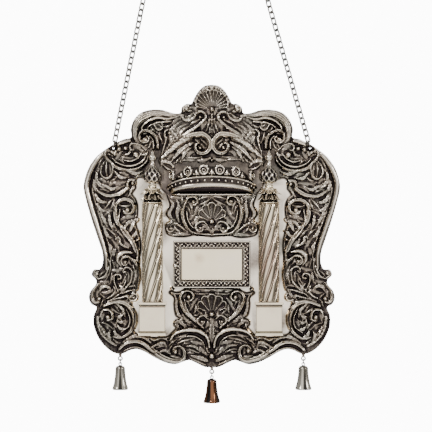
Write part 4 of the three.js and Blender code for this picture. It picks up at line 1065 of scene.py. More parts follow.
ECHO = {"period": 1.9, "height": 0.5, "reach": 5.0}
outside_plain = soft_step(-plain_in, 0.2, 1.0)
bare = soft_step(echo, 0.2, 1.0)
waver = 0.6 * rough_map(6, relief.shape)
comb = ECHO["height"] * (0.5 - 0.5 * np.cos(2 * math.pi * (echo + waver) / ECHO["period"]))
comb *= np.clip(1 - echo / ECHO["reach"] / 2.5, 0.3, 1)
crumple = 0.3 * (1 - np.clip(np.abs(rough_map(3.4, relief.shape)) * 2.4, 0, 1)) ** 1.5
combed = relief + ((comb + crumple) * bare + 0.05 * rough_map(1.6, relief.shape)) * outside_plain
leafy = 0.5 + 0.5 * np.cos(2 * math.pi * (grid_down * 0.8 + grid_out * 0.6) / 4.2)
rim = (1.5 + 0.9 * leafy) * bell_curve(-plain_in, 1.5, 0.9) * (plain_in < 0)
framed = np.maximum(combed, rim * outside_plain)
framed -= 0.7 * bell_curve(plain_in, 0.0, 0.5)
relief = np.where(plain_in > 0.6, np.where(framed > 1.0, framed, np.minimum(framed, 0.0)), framed)
print("combed ground and rim", round(float(relief.max()), 2), "mm high")

# %% Flatten the seats of the fitted pieces
for out, down, half_wide, half_high in SEATS:
    away = box_distance(out, down, half_wide, half_high)
    cap = np.where(away < 0, 0.0, away * 4.0)
    relief = np.minimum(relief, cap)
print("relief after seats", round(float(relief.max()), 2), "mm")

# %% [markdown]
# ## Tarnish and painted shade from the heights
# A hollow is a place lower than what lies round it. The map of heights is first softened, as rubbing softens
# silver. It is then blurred twice, once a little and once a lot, and what lies under the blur is taken as
# hollow. Low ground counts as more hollow than high ridges. Places near the foot of the plate count more than
# those near its top, a painted shade that darkens the plate towards its foot. The places are put in order of
# this, and the order gives the tarnish and that shade, so that dark and bright keep their shares of the
# plate. The plain panel stays bright, apart from a painted shadow along the line where the relief stands up
# from it, and painted shadows round the fitted pieces.

# %% Find the hollows
def blur(field, radius):
    """A soft blur by three passes of a running mean."""
    size = max(1, int(round(radius / CELL)))
    for _ in range(3):
        for axis in (0, 1):
            padded = np.concatenate([
                np.repeat(np.take(field, [0], axis), size, axis), field,
                np.repeat(np.take(field, [-1], axis), size, axis)], axis)
            total = np.cumsum(padded, axis)
            zero = np.zeros_like(np.take(total, [0], axis))
            total = np.concatenate([zero, total], axis)
            width = 2 * size + 1
            count = field.shape[axis]
            high = np.take(total, np.arange(width, width + count), axis)
            low = np.take(total, np.arange(0, count), axis)
            field = (high - low) / width
    return field


RIDGE_FILM = 0.1
COUNTS = {"close": 0.8, "wide": 0.6, "height": 0.9, "low_down": 0.9}
RANK_POWER = 1.12
relief = 0.5 * relief + 0.5 * blur(relief, 0.45)
lowness = COUNTS["close"] * (blur(relief, 0.9) - relief) + COUNTS["wide"] * (blur(relief, 2.6) - relief)
lowness = lowness - COUNTS["height"] * relief
# Painted shade: the plate is darker towards its foot.
lowness += COUNTS["low_down"] * soft_step(grid_down, 190, 370)
chased_cells = outside_plain > 0.5
rank = np.empty(int(chased_cells.sum()))
rank[np.argsort(lowness[chased_cells])] = np.linspace(0, 1, len(rank))
hollow_map = np.zeros_like(relief)
hollow_map[chased_cells] = RIDGE_FILM + (1 - RIDGE_FILM) * rank**RANK_POWER
hollow_map = hollow_map * outside_plain
# Painted shadow: a dark line on the plain panel where the relief stands up from it.
plain_edge = 0.85 * bell_curve(plain_in, -0.4, 0.8) + 0.06 * bell_curve(plain_in, 0.0, 2.4)
hollow_map = np.maximum(hollow_map, plain_edge)
# Painted shadow: the plate is darkened round each fitted piece.
for out, down, half_wide, half_high in SEATS[:-1]:
    away = box_distance(out, down, half_wide, half_high)
    near_piece = 0.28 * np.exp(-np.clip(away, 0, None) / 0.9) * (away > -3)
    hollow_map = np.maximum(hollow_map, near_piece)
hollow_map = np.clip(hollow_map, 0, 1)
print("mean hollow", round(float(hollow_map.mean()), 3))

# %% [markdown]
# ## The sheet
# The sheet has a front, a hollow back that follows it from inside, and a thin lip that joins them. The half
# map is looked up on both sides through a small uneven shift, so the halves aren't exact twins, as in hand
# work. Cells that cross the edge are pulled onto it. A decimate pass then keeps the faces where the surface
# bends and saves them on the flat panels, and normals weighted by the faces' sizes keep those panels even.

# %% Look values up on both sides of the centre line
SHEET_CELL = 0.56
WALL = 1.0
HOLE = {"out": 98.5, "down": 158.0, "radius": 1.0}
SHEET_AREA = {"out": 129.5, "top": 93.5, "foot": 378.5}


def look_up(field, out, down):
    """Reads a map between its cells."""
    col = np.clip(out / CELL, 0, field.shape[1] - 1.001)
    row = np.clip((down - TOP_DOWN) / CELL, 0, field.shape[0] - 1.001)
    c0, r0 = col.astype(int), row.astype(int)
    fc, fr = col - c0, row - r0
    top = field[r0, c0] * (1 - fc) + field[r0, c0 + 1] * fc
    low = field[r0 + 1, c0] * (1 - fc) + field[r0 + 1, c0 + 1] * fc
    return top * (1 - fr) + low * fr


def hand_shift(x, down):
    """The small uneven shift between the drawing and the hammered work."""
    shift_out = 0.45 * np.sin(x * 0.071 + down * 0.043) * np.sin(down * 0.031 + 1.7)
    shift_down = 0.5 * np.sin(x * 0.053 - down * 0.037 + 0.6)
    calm = np.clip(np.abs(x) / 14, 0, 1)
    return shift_out * calm, shift_down * calm


def at_both_sides(field, x, down):
    """Reads a half map at places on the whole plate."""
    shift_out, shift_down = hand_shift(x, down)
    return look_up(field, np.abs(x) + shift_out, down + shift_down)


edge_loop = mirrored(outline_half)
xs = np.arange(-SHEET_AREA["out"], SHEET_AREA["out"] + SHEET_CELL, SHEET_CELL)
downs = np.arange(SHEET_AREA["top"], SHEET_AREA["foot"], SHEET_CELL)
sheet_x, sheet_down = np.meshgrid(xs, downs)
cells = np.stack([sheet_x.ravel(), sheet_down.ravel()], 1)
coarse_loop = edge_loop[::2]
inward, spot = signed_distance(coarse_loop, cells)
for side in (-1, 1):
    centre = np.array([side * HOLE["out"], HOLE["down"]])
    gap = cells - centre
    reach = np.maximum(np.hypot(gap[:, 0], gap[:, 1]), 1e-6)
    from_hole = reach - HOLE["radius"]
    nearer = from_hole < inward
    inward = np.where(nearer, from_hole, inward)
    spot = np.where(nearer[:, None], centre + gap / reach[:, None] * HOLE["radius"], spot)
print("sheet cells", len(cells))

# %% Build the sheet's front, back and lip
LIP = 0.45
LOWEST, HIGHEST = -1.0, 8.4
BACK_SHARE = 0.92


def cell_corners(number):
    """The four corner numbers of every cell of a numbered grid."""
    corners = [number[:-1, :-1], number[:-1, 1:], number[1:, 1:], number[1:, :-1]]
    return np.stack(corners, -1).reshape(-1, 4)


def open_edges(edges, total):
    """The edges that only one face has."""
    key = edges.min(1).astype(np.int64) * total + edges.max(1)
    _, first, times = np.unique(key, return_index=True, return_counts=True)
    return edges[first[times == 1]]


kept = inward > -0.5 * SHEET_CELL
snapped = np.abs(inward) < 0.5 * SHEET_CELL
flat_places = np.where(snapped[:, None], spot, cells)
depth_in = np.where(snapped, 0.0, inward)
raised_here = at_both_sides(relief, flat_places[:, 0], flat_places[:, 1])
roll = np.sqrt(np.clip(1 - (1 - np.clip(depth_in / 1.7, 0, 1)) ** 2, 0, 1))
front_depth = LIP + (GROUND - LIP + np.clip(raised_here, LOWEST, HIGHEST)) * roll
soft_relief = blur(relief, 1.0)
raised_behind = at_both_sides(soft_relief, flat_places[:, 0], flat_places[:, 1]) * BACK_SHARE
back_depth = np.clip(GROUND - WALL + raised_behind, 0, None)
back_depth = np.minimum(back_depth, front_depth - 0.6) * np.clip(depth_in / 2.2, 0, 1)
back_depth = np.clip(back_depth, 0, front_depth - LIP * 0.9)

rows_count, cols_count = sheet_x.shape
number = np.full(rows_count * cols_count, -1)
number[kept] = np.arange(kept.sum())
number = number.reshape(sheet_x.shape)
corner = cell_corners(number)
have = (corner >= 0).sum(1)
quads = corner[have == 4]
threes = corner[have == 3]
triangles = np.array([[v for v in row if v >= 0] for row in threes])
total = int(kept.sum())
front_faces = [tuple(f) for f in quads.tolist()] + [tuple(f) for f in triangles.tolist()]
edges = np.concatenate([quads[:, [0, 1]], quads[:, [1, 2]], quads[:, [2, 3]], quads[:, [3, 0]],
                        triangles[:, [0, 1]], triangles[:, [1, 2]], triangles[:, [2, 0]]])
rim_edges = open_edges(edges, total)
places = flat_places[kept]
front_points = np.stack([places[:, 0], -front_depth[kept], -places[:, 1]], 1)
back_points = np.stack([places[:, 0], -back_depth[kept], -places[:, 1]], 1)
back_faces = [tuple(total + i for i in reversed(face)) for face in front_faces]
lip_faces = [(b, a, total + a, total + b) for a, b in rim_edges.tolist()]
sheet = mesh_object("shield_sheet", np.concatenate([front_points, back_points]),
                    front_faces + back_faces + lip_faces, chased)
print("sheet faces", len(sheet.data.polygons))

# %% Thin the sheet's faces out
SHEET_FACES = 182000
loose = bmesh.new()
loose.from_mesh(sheet.data)
bmesh.ops.delete(loose, geom=[v for v in loose.verts if not v.link_faces], context="VERTS")
bmesh.ops.recalc_face_normals(loose, faces=loose.faces[:])
loose.to_mesh(sheet.data)
loose.free()
before = sum(len(p.vertices) - 2 for p in sheet.data.polygons)
thin = sheet.modifiers.new("thin", "DECIMATE")
thin.ratio = min(1.0, SHEET_FACES / before)
sheet.modifiers.new("flat_panel_normals", "WEIGHTED_NORMAL")
evaluated = sheet.evaluated_get(bpy.context.evaluated_depsgraph_get())
thinned = bpy.data.meshes.new_from_object(evaluated)
sheet.modifiers.clear()
sheet.data = thinned
print("sheet from", before, "to", len(thinned.polygons), "faces")

# %% Mark the sheet's hollows
where = np.empty(len(thinned.vertices) * 3, np.float32)
thinned.vertices.foreach_get("co", where)
where = where.reshape(-1, 3) / MM
seen_front = GROUND + np.clip(at_both_sides(relief, where[:, 0], -where[:, 2]), LOWEST, HIGHEST)
seen_behind = at_both_sides(soft_relief, where[:, 0], -where[:, 2]) * BACK_SHARE
seen_back = np.clip(GROUND - WALL + seen_behind, 0, None)
is_front = np.abs(-where[:, 1] - seen_front) < np.abs(-where[:, 1] - seen_back)
values = np.where(is_front, at_both_sides(hollow_map, where[:, 0], -where[:, 2]), 0.5)
thinned.attributes["hollow"].data.foreach_set("value", values.astype(np.float32))
thinned.polygons.foreach_set("use_smooth", [True] * len(thinned.polygons))
print("front share", round(float(is_front.mean()), 2))

# %% [markdown]
# ## The eyelets
# Each bell hangs from a small ring that is soldered under the plate's edge. The rings belong to the plate,
# so they join its mesh as closed bodies of their own.

# %% Solder the eyelets on and fit the plate
EYELET = {"radius": 1.9, "wire": 0.75, "drop": 4.2}
MID_DEPTH = GROUND / 2
BELLS = [("left", -91.6, 364.33), ("centre", 0.0, 377.5), ("right", 91.6, 364.33)]
eyelets = Parts()
for name, out, edge in BELLS:
    eye = edge + EYELET["drop"]
    ring = ring_points(EYELET["radius"], 28, (out, -MID_DEPTH, -eye), (1, 0, 0), (0, 0, 1))
    sweep(ring, EYELET["wire"], EYELET["wire"], closed=True, sides=12, hollow=0.45, body=eyelets)
    neck = [(out, -MID_DEPTH, -down) for down in (edge - 2.0, edge + 0.8, eye - 1.7)]
    sweep(neck, [2.1, 1.5, 1.1], [0.55, 0.7, 0.7], sides=12, hollow=0.55, body=eyelets)
eyelet_rings = facing_out(mesh_object("eyelet_rings", np.concatenate(eyelets.points), eyelets.faces, chased,
                                      np.concatenate(eyelets.hollow)))
joined = bmesh.new()
joined.from_mesh(sheet.data)
joined.from_mesh(eyelet_rings.data)
plate_mesh = bpy.data.meshes.new("plate")
joined.to_mesh(plate_mesh)
joined.free()
plate_mesh.materials.append(chased)
plate = bpy.data.objects.new("chased_plate", plate_mesh)
bpy.context.scene.collection.objects.link(plate)
for spare in (sheet, eyelet_rings):
    bpy.data.objects.remove(spare)
settle(plate, "chased_silver", "shield_plate")

# %% [markdown]
# ## The crown
# The crown is a half ring of sheet that bows out over the upper panel. Its band has a bright lip, a dark
# strip with small round beads and a thin upper ridge. Six ringed jewels stand over it, with small spade tips
# between. Its wall is swept as levels, each a half ellipse, so the band keeps its curve from every side.

# %% Sweep the crown's wall
CROWN = {"foot": 204.5, "half": 45.0, "turns": 88, "wall": 1.2}
CROWN_LEVELS = [
    (40.0, 12.0, 204.5, 7.4), (42.0, 13.4, 202.6, 9.2), (44.0, 13.8, 200.2, 10.4),
    (45.0, 13.9, 198.4, 12.0), (42.0, 10.5, 195.0, 12.4), (38.0, 7.6, 190.0, 9.8), (34.2, 5.0, 184.66, 8.06),
]
LIP_SHARE, STRIP_FROM, STRIP_TO = 0.32, 0.37, 0.87
BAND_PART = 0.5


def crown_level(share):
    """The level at a share of the way up: half width, depth, height down and rise."""
    at = share * (len(CROWN_LEVELS) - 1)
    return np.array([np.interp(at, range(len(CROWN_LEVELS)), column) for column in zip(*CROWN_LEVELS)])


def crown_point(turn, level, proud=0.0):
    """A point on a level at a turn from the left end, stood out from the wall by so much."""
    half, deep, down, rise = level
    bow = np.sin(turn)
    x = -np.cos(turn) * (half + proud)
    return np.stack([x, -(SEAT + bow * (deep + proud)), -(down - bow * rise)], -1)


def crown_moulding(band_share):
    """How far the band stands proud, from its foot at 0 to its upper ridge at 1."""
    lip = 0.9 * math.sqrt(max(0, 1 - ((band_share - LIP_SHARE / 2) / (LIP_SHARE / 2)) ** 2))
    ridge = 0.8 * math.sqrt(max(0, 1 - ((band_share - 0.94) / 0.07) ** 2))
    strip = -0.4 if STRIP_FROM < band_share < STRIP_TO else 0.0
    return max(lip, ridge) if max(lip, ridge) > 0 else strip


turns = np.linspace(0.0, math.pi, CROWN["turns"] + 1)
crown_parts = Parts()
outer_rows, outer_dark = [], []
for share in np.concatenate([np.linspace(0, BAND_PART, 30), np.linspace(0.54, 1, 9)]):
    band = share / BAND_PART
    proud = crown_moulding(band) if band <= 1 else 0.5 * math.sin(turns.mean() + share * 40)
    outer_rows.append(crown_point(turns, crown_level(share), proud))
    dark = 0.85 if STRIP_FROM < band < STRIP_TO else (0.18 if band <= 1 else 0.8)
    outer_dark.append(np.full(len(turns), dark))
inner_rows = [crown_point(turns, crown_level(share), -CROWN["wall"]) for share in np.linspace(0.97, 0.0, 12)]
ring_rows = outer_rows + inner_rows
dark_rows = outer_dark + [np.full(len(turns), 1.0)] * len(inner_rows)
count = len(turns)
wall_faces = rows_faces(len(ring_rows), count, close_round=False, close_rows=True)
for end in (0, count - 1):
    loop = [i * count + end for i in range(len(ring_rows))]
    wall_faces.append(tuple(loop if end else reversed(loop)))
crown_parts.add(np.concatenate(ring_rows), wall_faces, np.concatenate(dark_rows))

# %% Set the crown's beads, jewels and bar, and a painted shade sheet under its arch
BEADS_ROUND = 19
JEWELS = {"count": 6, "pitch": 15.6, "above": 6.0, "ring": 4.1, "wire": 0.9, "eye": 1.7}
SPADE_WIDE = [0.7, 1.7, 2.0, 1.4, 0.7, 0.2]
SPADE_DEEP = [0.5, 0.9, 1.0, 0.8, 0.5, 0.2]
SPADE_STEP = 1.15


def crown_frame(turn, level, proud=0.0):
    """A place on the crown with its outward direction."""
    here = crown_point(turn, level, proud)
    out = crown_point(turn, level, proud + 1.0) - here
    return here, out / np.linalg.norm(out)


def jewel_turn(place):
    """The turn round the crown at which a jewel stands, counted from the left."""
    return math.acos(((JEWELS["count"] - 1) / 2 - place) * JEWELS["pitch"] / CROWN["half"])


strip_level = crown_level(BAND_PART * (STRIP_FROM + STRIP_TO) / 2)
for i in range(BEADS_ROUND):
    turn = math.pi * (i + 0.75) / (BEADS_ROUND + 0.5)
    here, out = crown_frame(turn, strip_level, -0.5)
    dome(crown_parts, here, 1.25, 1.3, out=out, sides=8, rings=3, hollow=(0.0, 0.5))
for i in range(JEWELS["count"]):
    turn = jewel_turn(i)
    here, out = crown_frame(turn, (CROWN_LEVELS[3][0], CROWN_LEVELS[3][1] * 0.86, *CROWN_LEVELS[3][2:]))
    here = here + np.array([0, 0, JEWELS["above"] + 0.4])
    side = np.cross(out, (0, 0, 1))
    dome(crown_parts, here, 5.3, 1.2, out=out, sides=24, rings=3, hollow=(0.95, 0.6), lobes=8,
         lobe_depth=0.07)
    circle = ring_points(JEWELS["ring"], 26, here + out * 1.5, side, np.cross(side, out))
    sweep(circle, JEWELS["wire"], JEWELS["wire"], closed=True, sides=8, face=out, hollow=0.1,
          body=crown_parts)
    eye = ring_points(JEWELS["eye"], 16, here + out * 1.1 - np.array([0, 0, 0.6]), side, np.cross(side, out))
    sweep(eye, 0.55, 0.7, closed=True, sides=6, face=out, hollow=0.2, body=crown_parts)
    for k in range(5):
        lean = math.radians(36 * k + 18)
        petal = here + side * math.cos(lean) * 4.8 + np.array([0, 0, 1]) * math.sin(lean) * 4.8
        size = 1.7 if k == (3 if i < 3 else 1) else 1.1
        dome(crown_parts, petal, size, size + 0.6, out=out, sides=10, rings=3, hollow=(0.02, 0.7))
for i in range(JEWELS["count"] - 1):
    turn = jewel_turn(i + 0.5)
    here, out = crown_frame(turn, crown_level(0.56), 0.2)
    tip = np.array([0, 0, 1.0])
    sweep([here + tip * k * SPADE_STEP for k in range(len(SPADE_WIDE))], SPADE_WIDE, SPADE_DEEP, face=out,
          hollow=0.15, body=crown_parts)
    for lean in (-1, 1):
        side = np.cross(out, tip) * lean
        dome(crown_parts, here + side * 2.3 + tip * 1.2, 1.1, 1.2, out=out, sides=8, rings=3,
             hollow=(0.1, 0.8))
bar = [(x, -(SEAT + 1.1), -CROWN["foot"]) for x in np.linspace(-40.0, 40.0, 9)]
sweep(bar, 0.9, 1.1, sides=12, hollow=0.12, body=crown_parts)
# A dark sheet on the plate inside the crown's arch: painted shade under the crown.
backing = []
for x in np.linspace(-39.5, 39.5, 33):
    arch = 12.5 * math.sqrt(max(0, 1 - (x / 41) ** 2))
    backing.append((x, -(SEAT + 0.45), -(198.6 - arch)))
low = [(x, y, -204.0) for x, y, z in backing]
panel = np.array(backing + low + [(x, y + 0.4, z) for x, y, z in backing + low])
n = len(backing)
panel_faces = rows_faces(2, n, close_round=False)
panel_faces += [tuple(2 * n + i for i in reversed(f)) for f in panel_faces]
rim_loop = list(range(n)) + list(range(2 * n - 1, n - 1, -1))
panel_faces += [(a, b, b + 2 * n, a + 2 * n) for a, b in zip(rim_loop, rim_loop[1:] + rim_loop[:1])]
crown_parts.add(panel, panel_faces, 1.0)
crown_parts.piece("crown_band", chased, "chased_silver", "crown")

# %% [markdown]
# ## The name holder
# The holder is a cast frame with a straight outer ridge, a row of small shells and curls, and a wavy inner
# edge. Its face is a map of heights along and across the rim, bent round the four sides.

# %% Model the holder's rim
HOLDER = {"wide": 77.0, "high": 47.0, "top": 250.8, "rim": 7.0, "depth": 5.0}
HOLDER_CELL = 0.5
holder_low, holder_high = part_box("name_holder")
print("name holder", round((holder_high[0] - holder_low[0]) / MM, 1), "mm wide in the frame")


def holder_height(x, down):
    """The face's height over its bed, and how far in from the nearest side a place is, in millimetres."""
    from_side = HOLDER["wide"] / 2 - np.abs(x)
    from_top = HOLDER["high"] / 2 - np.abs(down)
    across = np.minimum(from_side, from_top)
    along = np.where(from_side < from_top, down, x)
    beat = np.cos(2 * math.pi * along / 3.7)
    slow = np.cos(2 * math.pi * along / 7.4 + 0.8)
    ridge = 2.0 * np.sqrt(np.clip(1 - ((across - 0.75) / 0.75) ** 2, 0, 1))
    curls = 1.9 * bell_curve(across, 2.9 + 0.5 * slow, 0.75) * (0.45 + 0.55 * beat)
    shells = 2.3 * bell_curve(across, 4.6 - 0.4 * slow, 0.8) * (0.5 - 0.5 * beat)
    lip = 1.5 * bell_curve(across, 6.2 + 0.35 * beat, 0.45)
    grit = 0.35 * np.sin(along * 3.9 + across * 2.1) * np.sin(across * 4.3)
    face = np.maximum.reduce([ridge, curls + grit, shells + grit, lip])
    return face, across


hx = np.arange(-HOLDER["wide"] / 2, HOLDER["wide"] / 2 + 0.01, HOLDER_CELL)
hd = np.arange(-HOLDER["high"] / 2, HOLDER["high"] / 2 + 0.01, HOLDER_CELL)
gx, gd = np.meshgrid(hx, hd)
face, across = holder_height(gx, gd)
on_rim = across <= HOLDER["rim"] + 0.01
middle_down = HOLDER["top"] + HOLDER["high"] / 2
holder_number = np.full(gx.shape, -1)
holder_number[on_rim] = np.arange(on_rim.sum())
squares = cell_corners(holder_number)
squares = squares[(squares >= 0).all(1)]
total = int(on_rim.sum())
bed = HOLDER["depth"] - 1.2
top_points = np.stack([gx[on_rim], -(SEAT + bed + face[on_rim]), -(gd[on_rim] + middle_down)], 1)
low_points = np.stack([gx[on_rim], np.full(total, -SEAT), -(gd[on_rim] + middle_down)], 1)
rim_faces = [tuple(f) for f in squares.tolist()]
low_faces = [tuple(total + i for i in reversed(f)) for f in rim_faces]
sides = np.concatenate([squares[:, [0, 1]], squares[:, [1, 2]], squares[:, [2, 3]], squares[:, [3, 0]]])
wall = [(b, a, total + a, total + b) for a, b in open_edges(sides, total).tolist()]
dark = np.clip(1.0 - face[on_rim] / 1.6, 0, 1)
holder_parts = Parts()
holder_parts.add(np.concatenate([top_points, low_points]), rim_faces + low_faces + wall,
                 np.concatenate([dark, np.full(total, 0.6)]))
KNOB = {"out": -36.4, "down": 275.4, "radius": 2.6}
knob_place = (KNOB["out"], -(SEAT + 4.4), -KNOB["down"])
dome(holder_parts, knob_place, KNOB["radius"], KNOB["radius"], sides=14, hollow=(0.05, 0.9))
holder_parts.piece("name_frame", chased, "chased_silver", "name_holder")

# %% [markdown]
# ## The name plate
# The plate that slides into the holder is plain and was rubbed for years, so it is very slightly dished and
# has a soft bevel. It carries no words.

# %% Make the plain name plate
def bevelled_slab(name, low, high, bevel, dish, material, slot, node_name, cells=(48, 28)):
    """A thin slab with soft edges and a slightly hollow face, between two corners in metres."""
    low, high = np.array(low) / MM, np.array(high) / MM
    u = np.linspace(0, 1, cells[0] + 1)
    v = np.linspace(0, 1, cells[1] + 1)
    uu, vv = np.meshgrid(u, v)
    x = low[0] + (high[0] - low[0]) * uu
    z = low[2] + (high[2] - low[2]) * vv
    from_edge = np.minimum(np.minimum(x - low[0], high[0] - x), np.minimum(z - low[2], high[2] - z))
    drop = bevel * (1 - np.sqrt(np.clip(1 - (1 - np.clip(from_edge / bevel, 0, 1)) ** 2, 0, 1)))
    sag = dish * np.sin(math.pi * uu) * np.sin(math.pi * vv)
    front = np.stack([x, low[1] + drop + sag, z], -1).reshape(-1, 3)
    back = np.stack([x, np.full_like(x, high[1]), z], -1).reshape(-1, 3)
    rows, cols = uu.shape
    faces = rows_faces(rows, cols, close_round=False)
    total = rows * cols
    loop = border_loop(rows, cols)
    sides = [(a, b, b + total, a + total) for a, b in zip(loop, loop[1:] + loop[:1])]
    faces_back = [tuple(total + i for i in reversed(f)) for f in faces]
    slab = Parts()
    edge_dark = 0.35 * np.exp(-from_edge.ravel() / 0.8)
    slab.add(np.concatenate([front, back]), faces + faces_back + sides,
             np.concatenate([edge_dark, np.full(total, 0.4)]))
    return slab.piece(name, material, slot, node_name)


plate_low, plate_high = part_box("name_plate")
bevelled_slab("plain_name_plate", plate_low, plate_high, 0.6, 0.25, plain, "plain_silver", "name_plate")

# %% [markdown]
# ## The columns
# Each shaft is raised from sheet with narrow grooves that wind round it, a deep one and a faint one beside
# it on every lobe. Both shafts wind the same way. They are flat at the back, where they meet the plate.

# %% Turn the twisted shafts
COLUMN = {"radius": 10.4, "top": 213.65, "foot": 311.35, "lobes": 8, "turns": 0.6}
COLUMN_DEEP = SEAT + COLUMN["radius"] * 0.55
ROUND, UP = 160, 110
GROOVE_TARNISH = {"left": 0.95, "right": 1.4}


def flute(place_on_lobe):
    """The groove's depth across a lobe, and how dark it is: tarnish in the grooves and painted shade on the
    lobe's flank.
    """
    deep = bell_curve(place_on_lobe, 0.11, 0.055)
    faint = bell_curve(place_on_lobe, 0.33, 0.045)
    belly = 0.35 * np.sin(math.pi * np.clip((place_on_lobe - 0.36) / 0.72, 0, 1))
    # Painted shade darkening each lobe's flank.
    flank = 0.1 * bell_curve(place_on_lobe, 1.0, 0.12)
    return 1.3 * deep + 0.5 * faint - belly + 0.3, np.clip(1.2 * deep + 0.8 * faint + flank, 0, 1)


def turned_points(centre_out, radius_rows, down_rows, darkness, sides):
    """Rows round an upright axis over the plate, each point kept in front of the seat."""
    angle = np.arange(sides) * 2 * math.pi / sides
    points, dark = [], []
    for i, (radii, down) in enumerate(zip(radius_rows, down_rows)):
        x = centre_out + radii * np.sin(angle)
        y = np.minimum(-COLUMN_DEEP + radii * np.cos(angle), -SEAT)
        points.append(np.stack([x, y, np.full(sides, -down)], 1))
        dark.append(np.broadcast_to(darkness[i], (sides,)))
    return np.concatenate(points), np.concatenate(dark)


for label, column_x in COLUMN_PLACES.items():
    downs_here = np.linspace(COLUMN["top"], COLUMN["foot"], UP + 1)
    angle = np.arange(ROUND) * 2 * math.pi / ROUND
    radii, darks = [], []
    for i, down in enumerate(downs_here):
        wind = angle / (2 * math.pi) - COLUMN["turns"] * i / UP
        on_lobe = np.mod(wind * COLUMN["lobes"] + 0.5, 1.0)
        cut, dark = flute(on_lobe)
        end = min(i, UP - i) / UP * (COLUMN["foot"] - COLUMN["top"])
        collar = 0.35 * math.exp(-end / 0.6)
        radii.append(COLUMN["radius"] - cut - collar)
        darks.append(np.maximum(dark * GROOVE_TARNISH[label], 0.5 * math.exp(-end / 1.2)))
    points, dark = turned_points(column_x, radii, downs_here, darks, ROUND)
    shaft = Parts()
    shaft.add(points, rows_faces(UP + 1, ROUND, caps=(True, True)), dark)
    shaft.piece(f"twisted_shaft_{label}", column_silver, "column_silver", f"column_{label}")

# %% [markdown]
# ## Capitals and finials
# A capital is a turned bell with two rows of pointed leaves and a round moulding under it; its bell is
# painted dark under the leaves as shade. A finial is an onion-shaped bud pierced in a leaf pattern, with a
# knob on a thin neck. The leaves are bent sheets with a real thickness; the piercing is deep hollows in the
# wall, dark with tarnish and with painted shade that stands for the open piercing.

# %% Turn and leaf the capitals
CAPITAL_ROWS = [
    (213.5, 9.6), (212.6, 10.5), (211.8, 9.6), (210.6, 8.8), (208.4, 8.3), (206.6, 7.9), (204.6, 7.5),
    (202.6, 6.6), (201.2, 6.4), (200.4, 7.4), (199.6, 8.2), (198.8, 8.0), (198.2, 5.2), (197.4, 4.2),
    (196, 4.0), (195.0, 4.4),
]
CAPITAL_SIDES = 48
DARK_FROM, DARK_TO = 201.6, 212.0
LEAF_RINGS = [(8, 0.5, 205.2, 210.8, 7.9, 12.7, 3.7), (8, 0.0, 199.2, 205.0, 6.6, 12.6, 3.3)]


def bent_leaf(body, centre_out, turn, foot_down, tip_down, foot_r, tip_r, half_wide, thick=0.5):
    """A pointed leaf that stands on a capital and bends outwards at its tip."""
    rows, cols = 9, 7
    top, under, dark = [], [], []
    for i in range(rows):
        t = i / (rows - 1)
        r = foot_r + (tip_r - foot_r) * t**1.6
        down = foot_down + (tip_down - foot_down) * (t - 0.5 * max(0, t - 0.75))
        wide = half_wide * (0.75 + 0.5 * t) * math.sqrt(max(0.0, 1 - t**2.6)) + 0.08
        for j in range(cols):
            u = -1 + 2 * j / (cols - 1)
            lift = 0.55 * (1 - abs(u)) + (0.25 if j % 2 else 0.0)
            a = turn + u * wide / max(r, 1)
            for store, extra in ((top, lift), (under, lift - thick)):
                rr = r + extra
                y = min(-COLUMN_DEEP + rr * math.cos(a), -SEAT)
                store.append((centre_out + rr * math.sin(a), y, -down))
            dark.append(0.5 * (1 - t) ** 2 + (0.16 if j % 2 == 0 else 0.0))
    total = rows * cols
    faces = rows_faces(rows, cols, close_round=False)
    loop = border_loop(rows, cols)
    faces += [tuple(total + k for k in reversed(f)) for f in faces]
    faces += [(a, b, b + total, a + total) for a, b in zip(loop, loop[1:] + loop[:1])]
    body.add(top + under, faces, dark + [0.8] * total)


for label, column_x in COLUMN_PLACES.items():
    capital = Parts()
    line = evenly(smooth_line([(radius, down) for down, radius in CAPITAL_ROWS], 6), 0.35)
    radii = [np.full(CAPITAL_SIDES, r) for r in line[:, 0]]
    # The bell between DARK_FROM and DARK_TO is painted shade under the leaves.
    shade = [np.full(CAPITAL_SIDES, 0.9 if DARK_FROM < down < DARK_TO else 0.04) for down in line[:, 1]]
    points, dark = turned_points(column_x, radii, line[:, 1], shade, CAPITAL_SIDES)
    capital.add(points, rows_faces(len(line), CAPITAL_SIDES, caps=(True, True)), dark)
    for count, shift, foot_down, tip_down, foot_r, tip_r, half_wide in LEAF_RINGS:
        for k in range(count):
            turn = 2 * math.pi * (k + shift) / count
            if math.cos(turn) < 0.45:
                bent_leaf(capital, column_x, turn, foot_down, tip_down, foot_r, tip_r, half_wide)
    capital.piece(f"leafed_capital_{label}", column_silver, "column_silver", f"capital_{label}")

# %% Turn and pierce the finials
FINIAL_ROWS = [
    (194.4, 3.6), (193.4, 4.0), (192.4, 6.6), (191, 8.0), (189, 8.9), (187, 9.2), (184.6, 9.0), (182.6, 8.2),
    (180.6, 6.8), (178.6, 5.0), (177, 3.6), (175.4, 2.6), (173.6, 2.0), (171.4, 1.9), (170.4, 2.8),
    (169, 3.6), (167, 3.8), (165.4, 3.0), (164, 1.9), (162.4, 1.2), (160.8, 0.5),
]
FINIAL_SIDES = 96
PIERCED_FROM, PIERCED_TO = 175.5, 193.0


def piercing(angle, down):
    """How deep the leaf pattern is cut at places round the bud, 0 on its ribs."""
    share = (down - PIERCED_FROM) / (PIERCED_TO - PIERCED_FROM)
    inside = (share > 0) & (share < 1)
    lobes = np.cos(5 * angle + 1.9 * math.pi * share)
    cross = np.cos(4 * angle - 2.3 * math.pi * share + 0.7)
    holes = np.clip(np.abs(lobes * cross) * 1.7 - 0.25, 0, 1) ** 0.6
    return np.where(inside, holes * math.sin(math.pi * min(max(share, 0), 1)) ** 0.5, 0.0)


